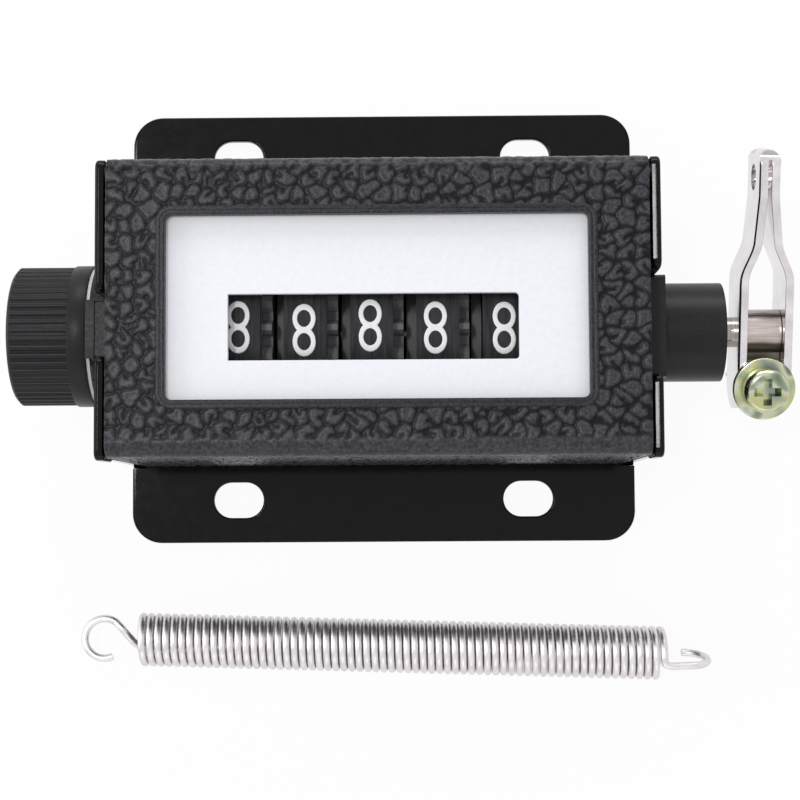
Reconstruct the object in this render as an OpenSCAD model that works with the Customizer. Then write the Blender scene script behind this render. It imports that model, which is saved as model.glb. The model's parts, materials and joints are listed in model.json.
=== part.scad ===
// Mechanical pull counter with five number wheels, a reset knob and a pull arm.
// Millimetres. The back of the base plate lies on z = 0 and the dial looks up, along +Z.
// The origin is the middle of the four slots.

/* [Base plate] */
// length of the plate along X
plate_w = 71.2; // [50:0.1:120]
// height of the plate along Y
plate_h = 61; // [40:0.1:100]
// thickness of the sheet of plate and ears
sheet_t = 1.2; // [0.8:0.1:2.5]
// radius of the four plate corners
plate_corner_r = 4.2; // [1:0.1:10]
// width of a slot
slot_w = 5; // [3:0.1:8]
// length of a slot along X
slot_len = 7; // [4:0.1:12]
// distance of the slots along X
slot_dx = 41; // [20:0.5:80]
// distance of the slots along Y
slot_dy = 49; // [30:0.5:80]
// inside radius of the bend to the ears
bend_r = 1; // [0.5:0.1:3]
// lower end of the ears
ear_y0 = -19.9; // [-25:0.1:-15]
// upper end of the ears
ear_y1 = 18.1; // [12:0.1:25]
// height of the front edge of the ears
ear_top = 33.4; // [25:0.1:45]
// radius at the corners of the ears and of their notches
ear_corner_r = 1.2; // [0.3:0.1:3]
// width of the relief cut beside each bend
relief_w = 0.25; // [0.2:0.05:2]

/* [Axis] */
// height of the wheel axis on the plate, along Y
axis_y = -2.8; // [-8:0.1:8]
// distance of the wheel axis from the back
axis_z = 18; // [12:0.1:25]

/* [Cover] */
// length of the cover along X
cover_w = 67.6; // [40:0.1:110]
// outside of the lower wall
cover_y0 = -19.65; // [-30:0.05:-10]
// outside of the upper wall
cover_y1 = 17.85; // [10:0.05:30]
// height of the front face
cover_front = 36; // [25:0.1:50]
// thickness of the cover sheet
cover_t = 1.2; // [0.6:0.1:2.5]
// outside radius of the two bends
cover_bend_r = 2; // [1.3:0.1:5]
// width of the dial opening
open_w = 52.5; // [30:0.1:70]
// height of the dial opening
open_h = 23; // [12:0.1:32]
// middle of the dial opening along X
open_x = -0.1; // [-5:0.1:5]
// middle of the dial opening along Y
open_y = -1.05; // [-5:0.05:5]
// corner radius of the dial opening
open_r = 0.8; // [0.2:0.1:4]
// width of the smooth rim around the opening
rim_w = 1.1; // [0.5:0.1:3]
// height of that rim above the grain
rim_h = 0.12; // [0.05:0.01:0.5]
// width of the groove between the two bands of that rim
rim_groove = 0.2; // [0.1:0.05:0.4]
// width of a screw foot of the cover
foot_w = 7; // [4:0.1:12]
// depth of a screw foot of the cover
foot_d = 6.4; // [4:0.1:10]
// distance of the feet from the middle
foot_x = 28.4; // [20:0.1:45]

/* [Dial] */
// thickness of the dial plate
dial_t = 1; // [0.4:0.1:2]
// part of the dial hidden behind the rim
dial_lap = 1.6; // [0.5:0.1:3]
// width of the number window
win_w = 36.2; // [20:0.05:50]
// height of the number window
win_h = 8.3; // [5:0.1:14]
// middle of the number window along X
win_x = -0.55; // [-5:0.05:5]
// middle of the number window along Y
win_y = -3.5; // [-8:0.1:8]
// radius of its right corners
win_r = 0.5; // [0.2:0.1:3]

/* [Screws and rivets] */
// radius of the cover screws
screw_r = 1.25; // [0.8:0.05:2]
// radius of their countersunk heads
screw_head_r = 2.3; // [1.5:0.05:3.5]
// length of the cover screws
screw_len = 4.2; // [3:0.1:8]
// width of their driver slots
screw_slot_w = 0.5; // [0.3:0.05:1]
// depth of their driver slots
screw_slot_d = 0.6; // [0.3:0.05:1]
// radius of the rivets
rivet_r = 1.2; // [0.8:0.05:2]
// radius of the rivet heads
rivet_head_r = 2; // [1.2:0.05:3]
// height of the rivet heads
rivet_head_h = 0.7; // [0.4:0.1:1.5]
// taper of the rivet heads
rivet_taper = 0.5; // [0.2:0.05:1]
// distance of a rivet from the end of the frame
rivet_in = 8.4; // [4:0.1:18]
// place of the right rivet along Y
rivet_y1 = 7.2; // [3:0.1:7.5]
// place of the left rivet along Y
rivet_y0 = -9; // [-9.3:0.1:-3]

/* [Inner frame] */
// thickness of the frame sheet
frame_t = 1; // [0.6:0.1:2]
// gap between the last wheel and the left cheek
cheek_gap_left = 1.85; // [0.5:0.05:4]
// gap between the crank and the right cheek
cheek_gap_right = 1.1; // [0.4:0.05:3]
// lower edge of the web on the plate
web_y0 = -11.6; // [-11.8:0.1:-5]
// upper edge of the web on the plate
web_y1 = 9.8; // [5:0.1:10]
// gap between the cheeks and the feet and screws of the cover
foot_gap = 0.4; // [0.2:0.05:1]
// lower edge of the frame
frame_y0 = -13.5; // [-18:0.1:-5]
// upper edge of the frame
frame_y1 = 14; // [5:0.1:16]
// front edge of the cheeks
frame_top = 26; // [20:0.1:30]
// radius of the cheek corners
frame_corner_r = 5; // [1:0.1:8]
// radius of the hole for the crank hub
frame_hub_r = 5; // [4.4:0.1:8]

/* [Wheels] */
// distance from wheel to wheel
wheel_pitch = 8.35; // [6:0.05:12]
// place of the units wheel along X
units_x = 15.85; // [5:0.05:25]
// radius of the wheels
wheel_r = 14.2; // [8:0.1:18]
// width of the number band
band_w = 5.4; // [3:0.1:10]
// wall of the number band
band_t = 1.5; // [0.8:0.1:3]
// thickness of the wheel web
web_t = 1.6; // [0.8:0.1:3]
// radius of the wheel hub
hub_r = 4.6; // [3:0.1:7]
// side gap between two wheels
wheel_gap = 0.35; // [0.2:0.05:1]
// radius of the carry disc
carry_r = 8; // [6:0.1:9.5]
// reach of the carry lug
carry_lug_r = 9.9; // [8:0.1:10]
// width of the carry lug
carry_lug_w = 2.4; // [1:0.1:4]
// running clearance of shafts in their holes
run_gap = 0.05; // [0.02:0.01:0.1]
// radius of the wheel shaft
wheel_shaft_r = 2; // [1:0.1:3]
// gap between the ends of wheel shaft and drive shaft
shaft_end_gap = 0.4; // [0.2:0.1:1]

/* [Carry gears] */
// teeth of a wheel gear
gear_teeth = 20; // [20:20:20]
// teeth of a carry pinion
pinion_teeth = 8; // [8:8:8]
// distance of the pinion shaft from the wheel axis
pinion_dist = 15.6; // [15:0.1:18]
// direction of the pinion shaft, from +Y towards +Z
pinion_angle = -35; // [-50:1:-20]
// radius of the pinion shaft
pinion_shaft_r = 1; // [0.6:0.05:1.5]
// overhang of the pinion shaft at each cheek
pinion_over = 1.4; // [0.8:0.1:2.5]
// side play of a pinion between two bands
pinion_play = 0.2; // [0.1:0.05:0.5]
// tooth height of the wheel gear above its pitch circle
gear_add = 0.8; // [0.5:0.05:1.2]
// tooth depth of the wheel gear below its pitch circle
gear_ded = 1.15; // [0.7:0.05:1.5]
// tooth height of the pinion above its pitch circle
pinion_add = 0.9; // [0.5:0.05:1.2]
// tooth depth of the pinion below its pitch circle
pinion_ded = 1.05; // [0.7:0.05:1.5]
// amount taken off each tooth for play
tooth_play = 0.2; // [0.05:0.01:0.3]
// pressure angle
tooth_angle = 25; // [20:1:28]

/* [Ratchet] */
// teeth of the ratchet wheel
ratchet_teeth = 10; // [10:1:10]
// radius at the crests
ratchet_r = 9.5; // [7:0.1:11]
// depth of the teeth
ratchet_depth = 1.5; // [0.6:0.1:3]
// thickness of the ratchet wheel
ratchet_t = 1.8; // [1:0.1:3]
// clearance between pawl tip and crests
pawl_gap = 0.25; // [0.1:0.05:0.5]
// thickness of the pawls
pawl_t = 1.3; // [0.8:0.1:2]
// radius of the pawl eyes
pawl_eye_r = 1.9; // [1.4:0.1:3]
// radius of pawl pin and stud
pawl_pin_r = 1; // [0.6:0.05:1.4]
// distance of the pawl pin from the axis
pawl_dist = 12.5; // [11:0.1:14]
// direction of the pawl pin at rest, from +Y towards +Z
pawl_angle = 118; // [100:1:130]
// angle from pawl pin to pawl tip
pawl_lead = 27; // [15:1:40]
// thickness of a pawl at its tip
pawl_tip_t = 1.3; // [0.6:0.1:2]
// angle from the heel of a pawl to its tip
pawl_heel = 2; // [0:0.5:6]
// half width of a pawl at its eye
pawl_waist = 1.7; // [1:0.1:1.8]
// overhang of pawl pin and stud
pin_over = 0.1; // [0:0.05:0.2]
// direction of the backstop stud
stud_angle = 262; // [240:1:275]

/* [Drive] */
// radius of the drive shaft
drive_shaft_r = 2; // [1:0.1:3]
// gap between ratchet wheel and crank
crank_gap = 0.55; // [0.3:0.05:1]
// depth of the bore that holds the end of the wheel shaft
pilot_len = 3.7; // [2:0.1:6]
// thickness of the crank plate
crank_t = 1.4; // [0.8:0.1:2]
// radius of the crank hub
crank_hub_r = 4; // [3:0.1:4.7]
// length of the crank hub
crank_hub_len = 8.1; // [6:0.1:10]
// step from the crank hub to the crank plate
crank_collar = 0.8; // [0.2:0.1:0.9]
// half width of the crank arm
crank_arm_r = 2.2; // [1.4:0.1:4]
// width of the left notch and plug
plug_left_w = 8; // [5:0.1:12]
// width of the right notch and plug
plug_right_w = 13.2; // [9:0.1:16]
// overhang of a plug flange behind the ear
flange_over = 1.5; // [0.5:0.1:3]
// thickness of a plug flange behind the ear
flange_t = 1.8; // [1:0.1:3]
// outer face of the left plug
plug_left_x = -37; // [-39:0.1:-36]
// outer face of the right plug
plug_right_x = 36.8; // [36:0.1:39]
// front of the plugs
plug_top = 27.2; // [25:0.1:44]
// radius of the plug corners
plug_corner_r = 0.6; // [0.2:0.1:2]
// radius of the bush
bush_r = 6.55; // [4:0.05:8]
// outer end of the bush
bush_x = 45.1; // [40:0.1:50]
// radius of the spring room in the bush
room_r = 5.2; // [4:0.1:6]
// inner end of the spring room
room_x0 = 36; // [35:0.1:38]
// thickness of the cap of the bush
cap_t = 1.6; // [1:0.1:3]
// wire of the return spring
return_wire = 0.8; // [0.4:0.05:1]
// mean radius of the return spring
return_r = 3.9; // [3.2:0.1:4.6]
// turns of the return spring
return_turns = 4; // [2:1:5]
// pitch of the return spring
return_pitch = 1.25; // [1.2:0.05:2]
// thickness of the retaining rings
ring_t = 0.6; // [0.4:0.1:1]
// width of the retaining rings
ring_w = 1.3; // [0.6:0.1:2]
// mouth of a retaining ring, per shaft radius
ring_mouth = 1.4; // [1:0.1:1.8]
// side play of the retaining rings
ring_gap = 0.3; // [0.1:0.05:0.6]

/* [Reset knob] */
// left end of the knob
knob_x0 = -48.2; // [-60:0.1:-44]
// right end of the collar
knob_x1 = -37.8; // [-40:0.1:-37]
// length of the smooth collar
collar_len = 2.5; // [1:0.1:5]
// radius of the collar
collar_r = 9.4; // [6:0.1:12]
// radius over the knurls
knurl_r = 9.2; // [6:0.1:12]
// depth of the knurls
knurl_depth = 0.4; // [0.1:0.05:0.8]
// number of knurls
knurl_count = 50; // [20:1:80]
// edge radius of the knob end
knob_edge_r = 1.2; // [0.4:0.1:3]
// step from the knurl roots to the plain knob end
knob_step = 0.1; // [0.05:0.05:0.5]
// radius of the knob hub
knob_hub_r = 3.85; // [3:0.05:6]
// gap from the knob hub to the plug
knob_gap = 0.3; // [0.2:0.05:1]
// depth of the dished knob end
knob_dish = 0.6; // [0.2:0.1:2]
// rim around the dished knob end
knob_rim = 0.6; // [0.2:0.1:2]
// radius of the pale disc behind the collar
knob_disc_r = 9.1; // [5:0.1:11]
// thickness of that disc
knob_disc_t = 0.4; // [0.2:0.05:0.5]
// end of the wheel shaft in the knob
wheel_shaft_x0 = -46; // [-50:0.1:-42]

/* [Pull arm] */
// middle of the arm along X
arm_x = 50.5; // [48.8:0.05:60]
// lean of the clamped arm towards the front
arm_angle = 14; // [-20:1:30]
// thickness of the strip
arm_t = 1.15; // [0.6:0.01:1.3]
// width of the strip
arm_w = 8.8; // [5:0.1:14]
// half distance over the legs at the shaft
leg_half = 3.55; // [2:0.05:6]
// half distance over the legs at the neck
neck_half = 1.86; // [1.4:0.02:4]
// half distance over the legs at the eye
tip_half = 1.37; // [1.2:0.01:2]
// height above the axis where the legs start to close
leg_rise = 7.1; // [2:0.1:10]
// height above the axis of the neck
neck_rise = 12.6; // [10.5:0.1:16]
// height above the axis where the legs lie together
pinch_rise = 18.2; // [16.5:0.1:18.5]
// height above the axis of the eye
eye_rise = 20.5; // [20:0.1:22]
// height above the axis of the fold
tip_rise = 24.2; // [23.5:0.1:45]
// radius of the eye
eye_r = 1.7; // [0.8:0.05:2.2]
// corner radius of the fold
tip_corner_r = 2.2; // [0.5:0.1:4]
// lower end of the legs below the axis
leg_drop = 10.2; // [9.5:0.1:16]
// radius of the arm hub
arm_hub_r = 3; // [2.6:0.1:4]
// slit of the arm hub
hub_slit = 0.8; // [0.4:0.1:1.5]
// half width of the neck between hub and lugs
hub_neck = 1.8; // [1:0.1:2.4]
// upper end of the lugs below the axis
lug_top = 3.6; // [3:0.1:4.5]
// distance from the ends of the legs to the ends of the lugs
lug_short = 0.6; // [0.2:0.1:1.5]
// clamp screw below the axis
clamp_drop = 6.8; // [6:0.1:8]
// clamp screw from the middle of the arm along X
clamp_shift = -0.2; // [-0.5:0.05:0.5]
// radius of the clamp screw
clamp_r = 1.5; // [1:0.05:1.8]
// radius of its washer
washer_r = 4.1; // [3:0.1:5]
// thickness of its washer
washer_t = 0.9; // [0.5:0.1:1.5]
// radius of its head
clamp_head_r = 2.95; // [2.2:0.05:4]
// height of its head
clamp_head_h = 2.4; // [1.6:0.1:4]
// height of its domed part
clamp_dome = 0.9; // [0.4:0.1:1.4]
// slope of its domed part, in plan
clamp_slope = 1; // [0.3:0.1:1.1]
// length of its end beyond the nut
clamp_tail = 0.8; // [0.2:0.1:3]
// width of the cross recess
cross_w = 1.1; // [0.6:0.1:1.6]
// length of the cross recess
cross_len = 3.6; // [2:0.1:5]
// depth of the cross recess
cross_depth = 1.5; // [0.8:0.1:2]
// width across flats of the nut
nut_af = 5.5; // [4.5:0.1:8]
// thickness of the nut
nut_t = 2.4; // [2:0.1:4]
// play between legs and hub lugs
lug_play = 0; // [0:0.05:0.3]

/* [Tension spring] */
// outside diameter of the loose spring
spring_od = 7.5; // [4:0.1:12]
// wire of the loose spring
spring_wire = 0.68; // [0.4:0.02:1]
// number of turns
spring_turns = 66; // [20:1:80]
// length of the wound body
spring_len = 73.8; // [40:0.1:120]
// middle of the spring along X
spring_x = 2.35; // [-20:0.05:20]
// middle of the spring along Y
spring_y = -45; // [-70:0.1:-36]
// turn of the spring on the table
spring_turn = -1.8; // [-10:0.1:10]
// radius of the hooks, middle of the wire
hook_r = 2.75; // [2:0.05:4]
// distance of the left hook from the body
hook_left = 5.05; // [3:0.05:8]
// distance of the right hook from the body
hook_right = 3.6; // [3:0.05:8]
// lean of the right hook
hook_lean = 15; // [0:1:40]
// distance of the hooks below the spring axis
hook_sink = 0.2; // [0:0.05:1]
// distance of the right hook beside the spring axis
hook_side = 1; // [0:0.1:2]
// reach of the bends between the body and the hooks
hook_join = 2; // [1:0.1:3]

/* [Hidden] */
$fn = 64;
cover_in = cover_front - cover_t;
ear_in = plate_w / 2 - sheet_t;
cut = 1;
weld = 0.01;
wire_sides = 6;
turn_points = 8;
web_x1 = band_w / 2;
gear_w = (wheel_pitch - band_w - wheel_gap) / 2;
hub_half = band_w / 2 + gear_w;
tooth_m = 2 * pinion_dist / (gear_teeth + pinion_teeth);
pin_y = axis_y + pinion_dist * cos(pinion_angle);
pin_z = axis_z + pinion_dist * sin(pinion_angle);
foot_y1 = cover_y1 - cover_t - foot_d / 2;
foot_y0 = cover_y0 + cover_t + foot_d / 2;
cheek_z0 = max(sheet_t + cover_t, screw_len) + foot_gap;
pawl_x = units_x + web_x1 + (ratchet_t - pawl_t) / 2;
ratchet_x1 = units_x + web_x1 + ratchet_t;
crank_x0 = ratchet_x1 + crank_gap;
crank_x1 = crank_x0 + crank_hub_len;
drive_x0 = crank_x0 + pilot_len;
wheel_shaft_x1 = drive_x0 - shaft_end_gap;
frame_x0 = units_x - 4 * wheel_pitch - hub_half - cheek_gap_left - frame_t;
frame_x1 = crank_x0 + crank_t + cheek_gap_right + frame_t;
plane_pin = [pawl_dist * cos(pawl_angle), pawl_dist * sin(pawl_angle)];
plane_stud = [pawl_dist * cos(stud_angle), pawl_dist * sin(stud_angle)];
tip_r = ratchet_r + pawl_gap;
spring_r = (spring_od - spring_wire) / 2;
spring_pitch = (spring_len - spring_wire) / spring_turns;

// helpers

// cylinder along X about the local axis
module xcyl(r, x0, x1) {
  translate([x0, 0, 0]) rotate([0, 90, 0]) cylinder(r = r, h = x1 - x0);
}

// ring along X about the local axis
module xring(r1, r0, x0, x1) {
  translate([x0, 0, 0]) rotate([90, 0, 90]) linear_extrude(x1 - x0) difference() {
    circle(r1);
    circle(r0);
  }
}

// flat outline in the plane of Y and Z, given thickness along X
module yzx(x0, x1) {
  translate([x0, 0, 0]) rotate([90, 0, 90]) linear_extrude(x1 - x0) children();
}

// place on the wheel axis
module on_axis() {
  translate([0, axis_y, axis_z]) children();
}

// place on the leaning arm, its hub at the origin
module on_arm() {
  translate([arm_x, axis_y, axis_z]) rotate([arm_angle, 0, 0]) children();
}

// rectangle with four round corners
module round_rect(w, h, r) {
  square([w - 2 * r, h], center = true);
  square([w, h - 2 * r], center = true);
  for (x = [-1, 1], y = [-1, 1]) translate([x * (w / 2 - r), y * (h / 2 - r)]) circle(r);
}

// upright bar with two round upper corners
module top_bar(y0, y1, z0, z1, r) {
  translate([y0, z0]) square([y1 - y0, z1 - r - z0]);
  translate([y0 + r, z0]) square([y1 - y0 - 2 * r, z1 - z0]);
  translate([y0 + r, z1 - r]) circle(r);
  translate([y1 - r, z1 - r]) circle(r);
}

// quarter ring of a sheet bend, centre at the origin, first quadrant
module bend_arc(r1, r0) {
  intersection() {
    difference() {
      circle(r1);
      circle(r0);
    }
    square(r1);
  }
}

// slot with round ends along X
module slot_2d(len, w) {
  square([len - w, w], center = true);
  for (s = [-1, 1]) translate([s * (len - w) / 2, 0]) circle(w / 2);
}

// involute teeth
function inv(a) = tan(a) * 180 / PI - a;
function half_at(r, rb, hp) = hp + inv(tooth_angle) - inv(acos(min(1, rb / max(r, rb))));
function flank(rp, add, ded) =
  let (rb = rp * cos(tooth_angle), rr = rp - ded, ro = rp + add, lo = max(rr, rb))
  concat(rr < rb ? [rr] : [], [lo, (lo + ro) / 2, ro]);
function gear_points(z, add, ded, turn) = let (
    rp = tooth_m * z / 2,
    rb = rp * cos(tooth_angle),
    hp = 90 / z - tooth_play / 2 / rp * 180 / PI,
    rs = flank(rp, add, ded),
    n = len(rs))
  [for (t = [0 : z - 1]) for (k = [0 : 2 * n - 1])
    let (up = k < n, r = up ? rs[k] : rs[2 * n - 1 - k],
         a = turn + 360 * t / z + (up ? -1 : 1) * half_at(r, rb, hp))
    [r * cos(a), r * sin(a)]];

// wire forms
function unit(v) = v / norm(v);
function bez(a, b, c, d, t) =
  pow(1 - t, 3) * a + 3 * pow(1 - t, 2) * t * b + 3 * (1 - t) * t * t * c + pow(t, 3) * d;
function tangent(p, i) = unit(p[min(i + 1, len(p) - 1)] - p[max(i - 1, 0)]);
function across(v, t) = unit(v - (v * t) * t);
function frames(p, first) = [for (i = 0, v = across(first, tangent(p, 0)); i < len(p);
    i = i + 1, v = i < len(p) ? across(v, tangent(p, i)) : v) v];

// least gap between wire surfaces, over points at least five rings apart
function wire_gap(p, wire) =
  min([for (i = [0 : len(p) - 6]) for (j = [i + 5 : min(i + 30, len(p) - 1)])
    norm(p[i] - p[j])]) - wire;

module tube(p, wire, first) {
  f = frames(p, first);
  n = len(p);
  m = wire_sides;
  last = m * (n - 1);
  pts = [for (i = [0 : n - 1]) let (t = tangent(p, i), b = cross(t, f[i])) for (k = [0 : m - 1])
    p[i] + wire / 2 * (cos(360 * k / m) * f[i] + sin(360 * k / m) * b)];
  sides = [for (i = [0 : n - 2]) for (k = [0 : m - 1]) let (a = m * i + k, b = m * i + (k + 1) % m)
    each [[a, b + m, b], [a, a + m, b + m]]];
  caps = [for (k = [1 : m - 2]) each [[0, k, k + 1], [last, last + k + 1, last + k]]];
  polyhedron(points = pts, faces = concat(sides, caps));
}

// base plate and cover

module ear(w) {
  xi = ear_in;
  z0 = sheet_t + bend_r;
  yzx(xi, plate_w / 2) {
    top_bar(ear_y0, axis_y - w / 2, axis_z - cut, ear_top, ear_corner_r);
    top_bar(axis_y + w / 2, ear_y1, axis_z - cut, ear_top, ear_corner_r);
    difference() {
      translate([ear_y0, z0]) square([ear_y1 - ear_y0, axis_z - z0]);
      translate([axis_y, axis_z]) circle(w / 2);
    }
  }
  translate([xi - bend_r, ear_y1, z0]) rotate([90, 0, 0]) linear_extrude(ear_y1 - ear_y0)
    mirror([0, 1]) bend_arc(bend_r + sheet_t, bend_r);
}

module base_plate() {
  cut_x = ear_in - bend_r;
  color("#1b1b1c") {
    difference() {
      linear_extrude(sheet_t) difference() {
        round_rect(plate_w, plate_h, plate_corner_r);
        for (x = [-1, 1], y = [-1, 1]) translate([x * slot_dx / 2, y * slot_dy / 2])
          slot_2d(slot_len, slot_w);
        for (s = [0, 1]) mirror([s, 0]) translate([cut_x, ear_y0 - relief_w])
          square([plate_w, ear_y1 - ear_y0 + 2 * relief_w]);
      }
      for (x = [-1, 1], y = [foot_y0, foot_y1]) translate([x * foot_x, y, 0]) screw_sink();
      for (k = [-1, 1]) at_rivet(k) rivet_sink();
    }
    ear(plug_right_w);
    mirror([1, 0, 0]) ear(plug_left_w);
  }
}

module at_rivet(k) {
  x = k > 0 ? frame_x1 - rivet_in : frame_x0 + rivet_in;
  translate([x, k > 0 ? rivet_y1 : rivet_y0, 0]) children();
}

module screw_sink() {
  cylinder(r1 = screw_head_r, r2 = screw_r, h = sheet_t);
}

module rivet_sink() {
  cylinder(r1 = rivet_head_r, r2 = rivet_r, h = sheet_t);
}

module cover_wall(y0, s) {
  translate([y0, 0]) mirror([s, 0]) {
    translate([-cover_t, sheet_t]) square([cover_t, cover_front - cover_bend_r - sheet_t]);
    translate([-cover_bend_r, cover_front - cover_bend_r])
      bend_arc(cover_bend_r, cover_bend_r - cover_t);
  }
}

module front_cover() {
  color("#2c2c2e") {
    difference() {
      yzx(-cover_w / 2, cover_w / 2) {
        translate([cover_y0 + cover_bend_r, cover_in])
          square([cover_y1 - cover_y0 - 2 * cover_bend_r, cover_t]);
        cover_wall(cover_y1, 0);
        cover_wall(cover_y0, 1);
      }
      translate([open_x, open_y, cover_in - cut]) linear_extrude(cover_t + 2 * cut) open_rect(0);
    }
    rim_band(0, (rim_w - rim_groove) / 2);
    rim_band((rim_w + rim_groove) / 2, rim_w);
    for (x = [-1, 1]) {
      cover_foot(x * foot_x, foot_y1, 1);
      cover_foot(x * foot_x, foot_y0, -1);
    }
  }
}

// dial opening, widened by d on each side
module open_rect(d) {
  round_rect(open_w + 2 * d, open_h + 2 * d, open_r + d);
}

module rim_band(d0, d1) {
  translate([open_x, open_y, cover_front]) linear_extrude(rim_h) difference() {
    open_rect(d1);
    open_rect(d0);
  }
}

module cover_foot(x, y, s) {
  translate([x, y, sheet_t]) linear_extrude(cover_t) difference() {
    translate([-foot_w / 2, -foot_d / 2 - (s < 0 ? cover_t / 2 : 0)])
      square([foot_w, foot_d + cover_t / 2]);
    circle(screw_r);
  }
}

module cover_screw(x, y) {
  color("#8c8c8a") translate([x, y, 0]) difference() {
    union() {
      screw_sink();
      translate([0, 0, sheet_t]) cylinder(r = screw_r, h = screw_len - sheet_t);
    }
    translate([-screw_head_r, -screw_slot_w / 2, -cut])
      cube([2 * screw_head_r, screw_slot_w, screw_slot_d + cut]);
  }
}

module cover_screw_a() {
  cover_screw(-foot_x, foot_y0);
}

module cover_screw_b() {
  cover_screw(foot_x, foot_y0);
}

module cover_screw_c() {
  cover_screw(-foot_x, foot_y1);
}

module cover_screw_d() {
  cover_screw(foot_x, foot_y1);
}

module dial_plate() {
  color("#eef0f6") translate([0, 0, cover_in - dial_t]) linear_extrude(dial_t) difference() {
    translate([open_x, open_y])
      square([open_w + 2 * dial_lap, open_h + 2 * dial_lap], center = true);
    translate([win_x, win_y]) {
      translate([-win_w / 2, -win_h / 2]) square([win_w - win_r, win_h]);
      translate([-win_w / 2, -win_h / 2 + win_r]) square([win_w, win_h - 2 * win_r]);
      for (s = [-1, 1]) translate([win_w / 2 - win_r, s * (win_h / 2 - win_r)]) circle(win_r);
    }
  }
}

// inner frame and its fixings

module cheek(x0, hole) {
  yzx(x0, x0 + frame_t) difference() {
    union() {
      top_bar(frame_y0, frame_y1, cheek_z0, frame_top, frame_corner_r);
      translate([web_y0, sheet_t]) square([web_y1 - web_y0, cheek_z0 - sheet_t + cut]);
    }
    translate([axis_y, axis_z]) circle(hole);
    translate([pin_y, pin_z]) circle(pinion_shaft_r);
    if (hole == frame_hub_r) translate([axis_y, axis_z] + plane_stud) circle(pawl_pin_r);
  }
}

module inner_frame() {
  color("#b9babd") {
    cheek(frame_x0, wheel_shaft_r + run_gap);
    cheek(frame_x1 - frame_t, frame_hub_r);
    translate([0, 0, sheet_t]) linear_extrude(frame_t) difference() {
      translate([frame_x0, web_y0]) square([frame_x1 - frame_x0, web_y1 - web_y0]);
      for (k = [-1, 1]) at_rivet(k) circle(rivet_r);
    }
  }
}

module frame_rivet(k) {
  color("#a9aaad") at_rivet(k) {
    rivet_sink();
    translate([0, 0, sheet_t]) cylinder(r = rivet_r, h = frame_t);
    translate([0, 0, sheet_t + frame_t])
      cylinder(r1 = rivet_head_r, r2 = rivet_head_r - rivet_taper, h = rivet_head_h);
  }
}

module frame_rivet_a() {
  frame_rivet(-1);
}

module frame_rivet_b() {
  frame_rivet(1);
}

// bearings, bush and return spring

module plug_outline(w) {
  translate([axis_y, axis_z]) circle(w / 2);
  top_bar(axis_y - w / 2, axis_y + w / 2, axis_z, plug_top, plug_corner_r);
}

module bearing_left() {
  color("#3c3c3f") difference() {
    union() {
      mirror([1, 0, 0]) yzx(ear_in, -plug_left_x) plug_outline(plug_left_w);
      mirror([1, 0, 0]) yzx(ear_in - flange_t, ear_in) plug_outline(plug_left_w + 2 * flange_over);
    }
    on_axis() xcyl(wheel_shaft_r + run_gap, plug_left_x - cut, cut - ear_in + flange_t);
  }
}

module bearing_right() {
  color("#3c3c3f") difference() {
    union() {
      yzx(ear_in, plug_right_x) plug_outline(plug_right_w);
      yzx(ear_in - flange_t, ear_in) plug_outline(plug_right_w + 2 * flange_over);
      on_axis() xcyl(bush_r, plug_right_x, bush_x);
    }
    on_axis() xcyl(drive_shaft_r + run_gap, ear_in - flange_t - cut, room_x0 + cut);
    on_axis() xcyl(room_r, room_x0, bush_x + cut);
  }
}

module bush_cap() {
  color("#343437") on_axis() xring(room_r, drive_shaft_r + run_gap, bush_x - cap_t, bush_x);
}

return_x = room_x0 + return_wire / 2;
// coil with a short straight end at each side
return_coil = concat(
  [for (k = [2 : -1 : 1]) [return_x, return_r, -k * return_wire / 2]],
  [for (i = [0 : turn_points * return_turns]) let (a = 360 * i / turn_points)
    [return_x + return_pitch * i / turn_points, return_r * cos(a), return_r * sin(a)]],
  [for (k = [1 : 2]) [return_x + return_pitch * return_turns, return_r, k * return_wire / 2]]);

module return_spring() {
  color("#c9cacd") on_axis() tube(return_coil, return_wire, [1, 0, 0]);
}

// number wheels

module wheel_body(gear, carry) {
  bore = wheel_shaft_r + run_gap;
  inner = wheel_r - band_t;
  rotate([0, 90, 0]) rotate_extrude() polygon([
    [bore, -hub_half], [hub_r, -hub_half], [hub_r, web_x1 - web_t], [inner, web_x1 - web_t],
    [inner, -web_x1], [wheel_r, -web_x1], [wheel_r, web_x1], [hub_r, web_x1],
    [hub_r, hub_half], [bore, hub_half]]);
  if (gear) yzx(web_x1, hub_half) difference() {
    polygon(gear_points(gear_teeth, gear_add, gear_ded, pinion_angle));
    circle(bore);
  }
  if (carry) yzx(-hub_half, -web_x1) difference() {
    union() {
      circle(carry_r);
      translate([0, -carry_lug_w / 2]) square([carry_lug_r, carry_lug_w]);
    }
    circle(bore);
  }
}

module wheel(i) {
  color("#2c2c2e") translate([units_x - i * wheel_pitch, axis_y, axis_z]) wheel_body(i > 0, i < 4);
}

module wheel_units() {
  wheel(0);
}

module wheel_tens() {
  wheel(1);
}

module wheel_hundreds() {
  wheel(2);
}

module wheel_thousands() {
  wheel(3);
}

module wheel_tenthousands() {
  wheel(4);
}

module ratchet_wheel() {
  step = 360 / ratchet_teeth;
  color("#c7b27a") on_axis() yzx(units_x + web_x1, ratchet_x1) difference() {
    polygon([for (i = [0 : ratchet_teeth - 1]) for (r = [ratchet_r - ratchet_depth, ratchet_r])
      [r * cos(i * step), r * sin(i * step)]]);
    circle(hub_r);
  }
}

// wheel shaft, reset knob and rings

module wheel_shaft() {
  color("#c4c5c8") on_axis() xcyl(wheel_shaft_r, wheel_shaft_x0, wheel_shaft_x1);
}

module shaft_ring() {
  x = -ear_in + flange_t + ring_gap;
  color("#9a9b9e") on_axis() open_ring(wheel_shaft_r, x);
}

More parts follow.
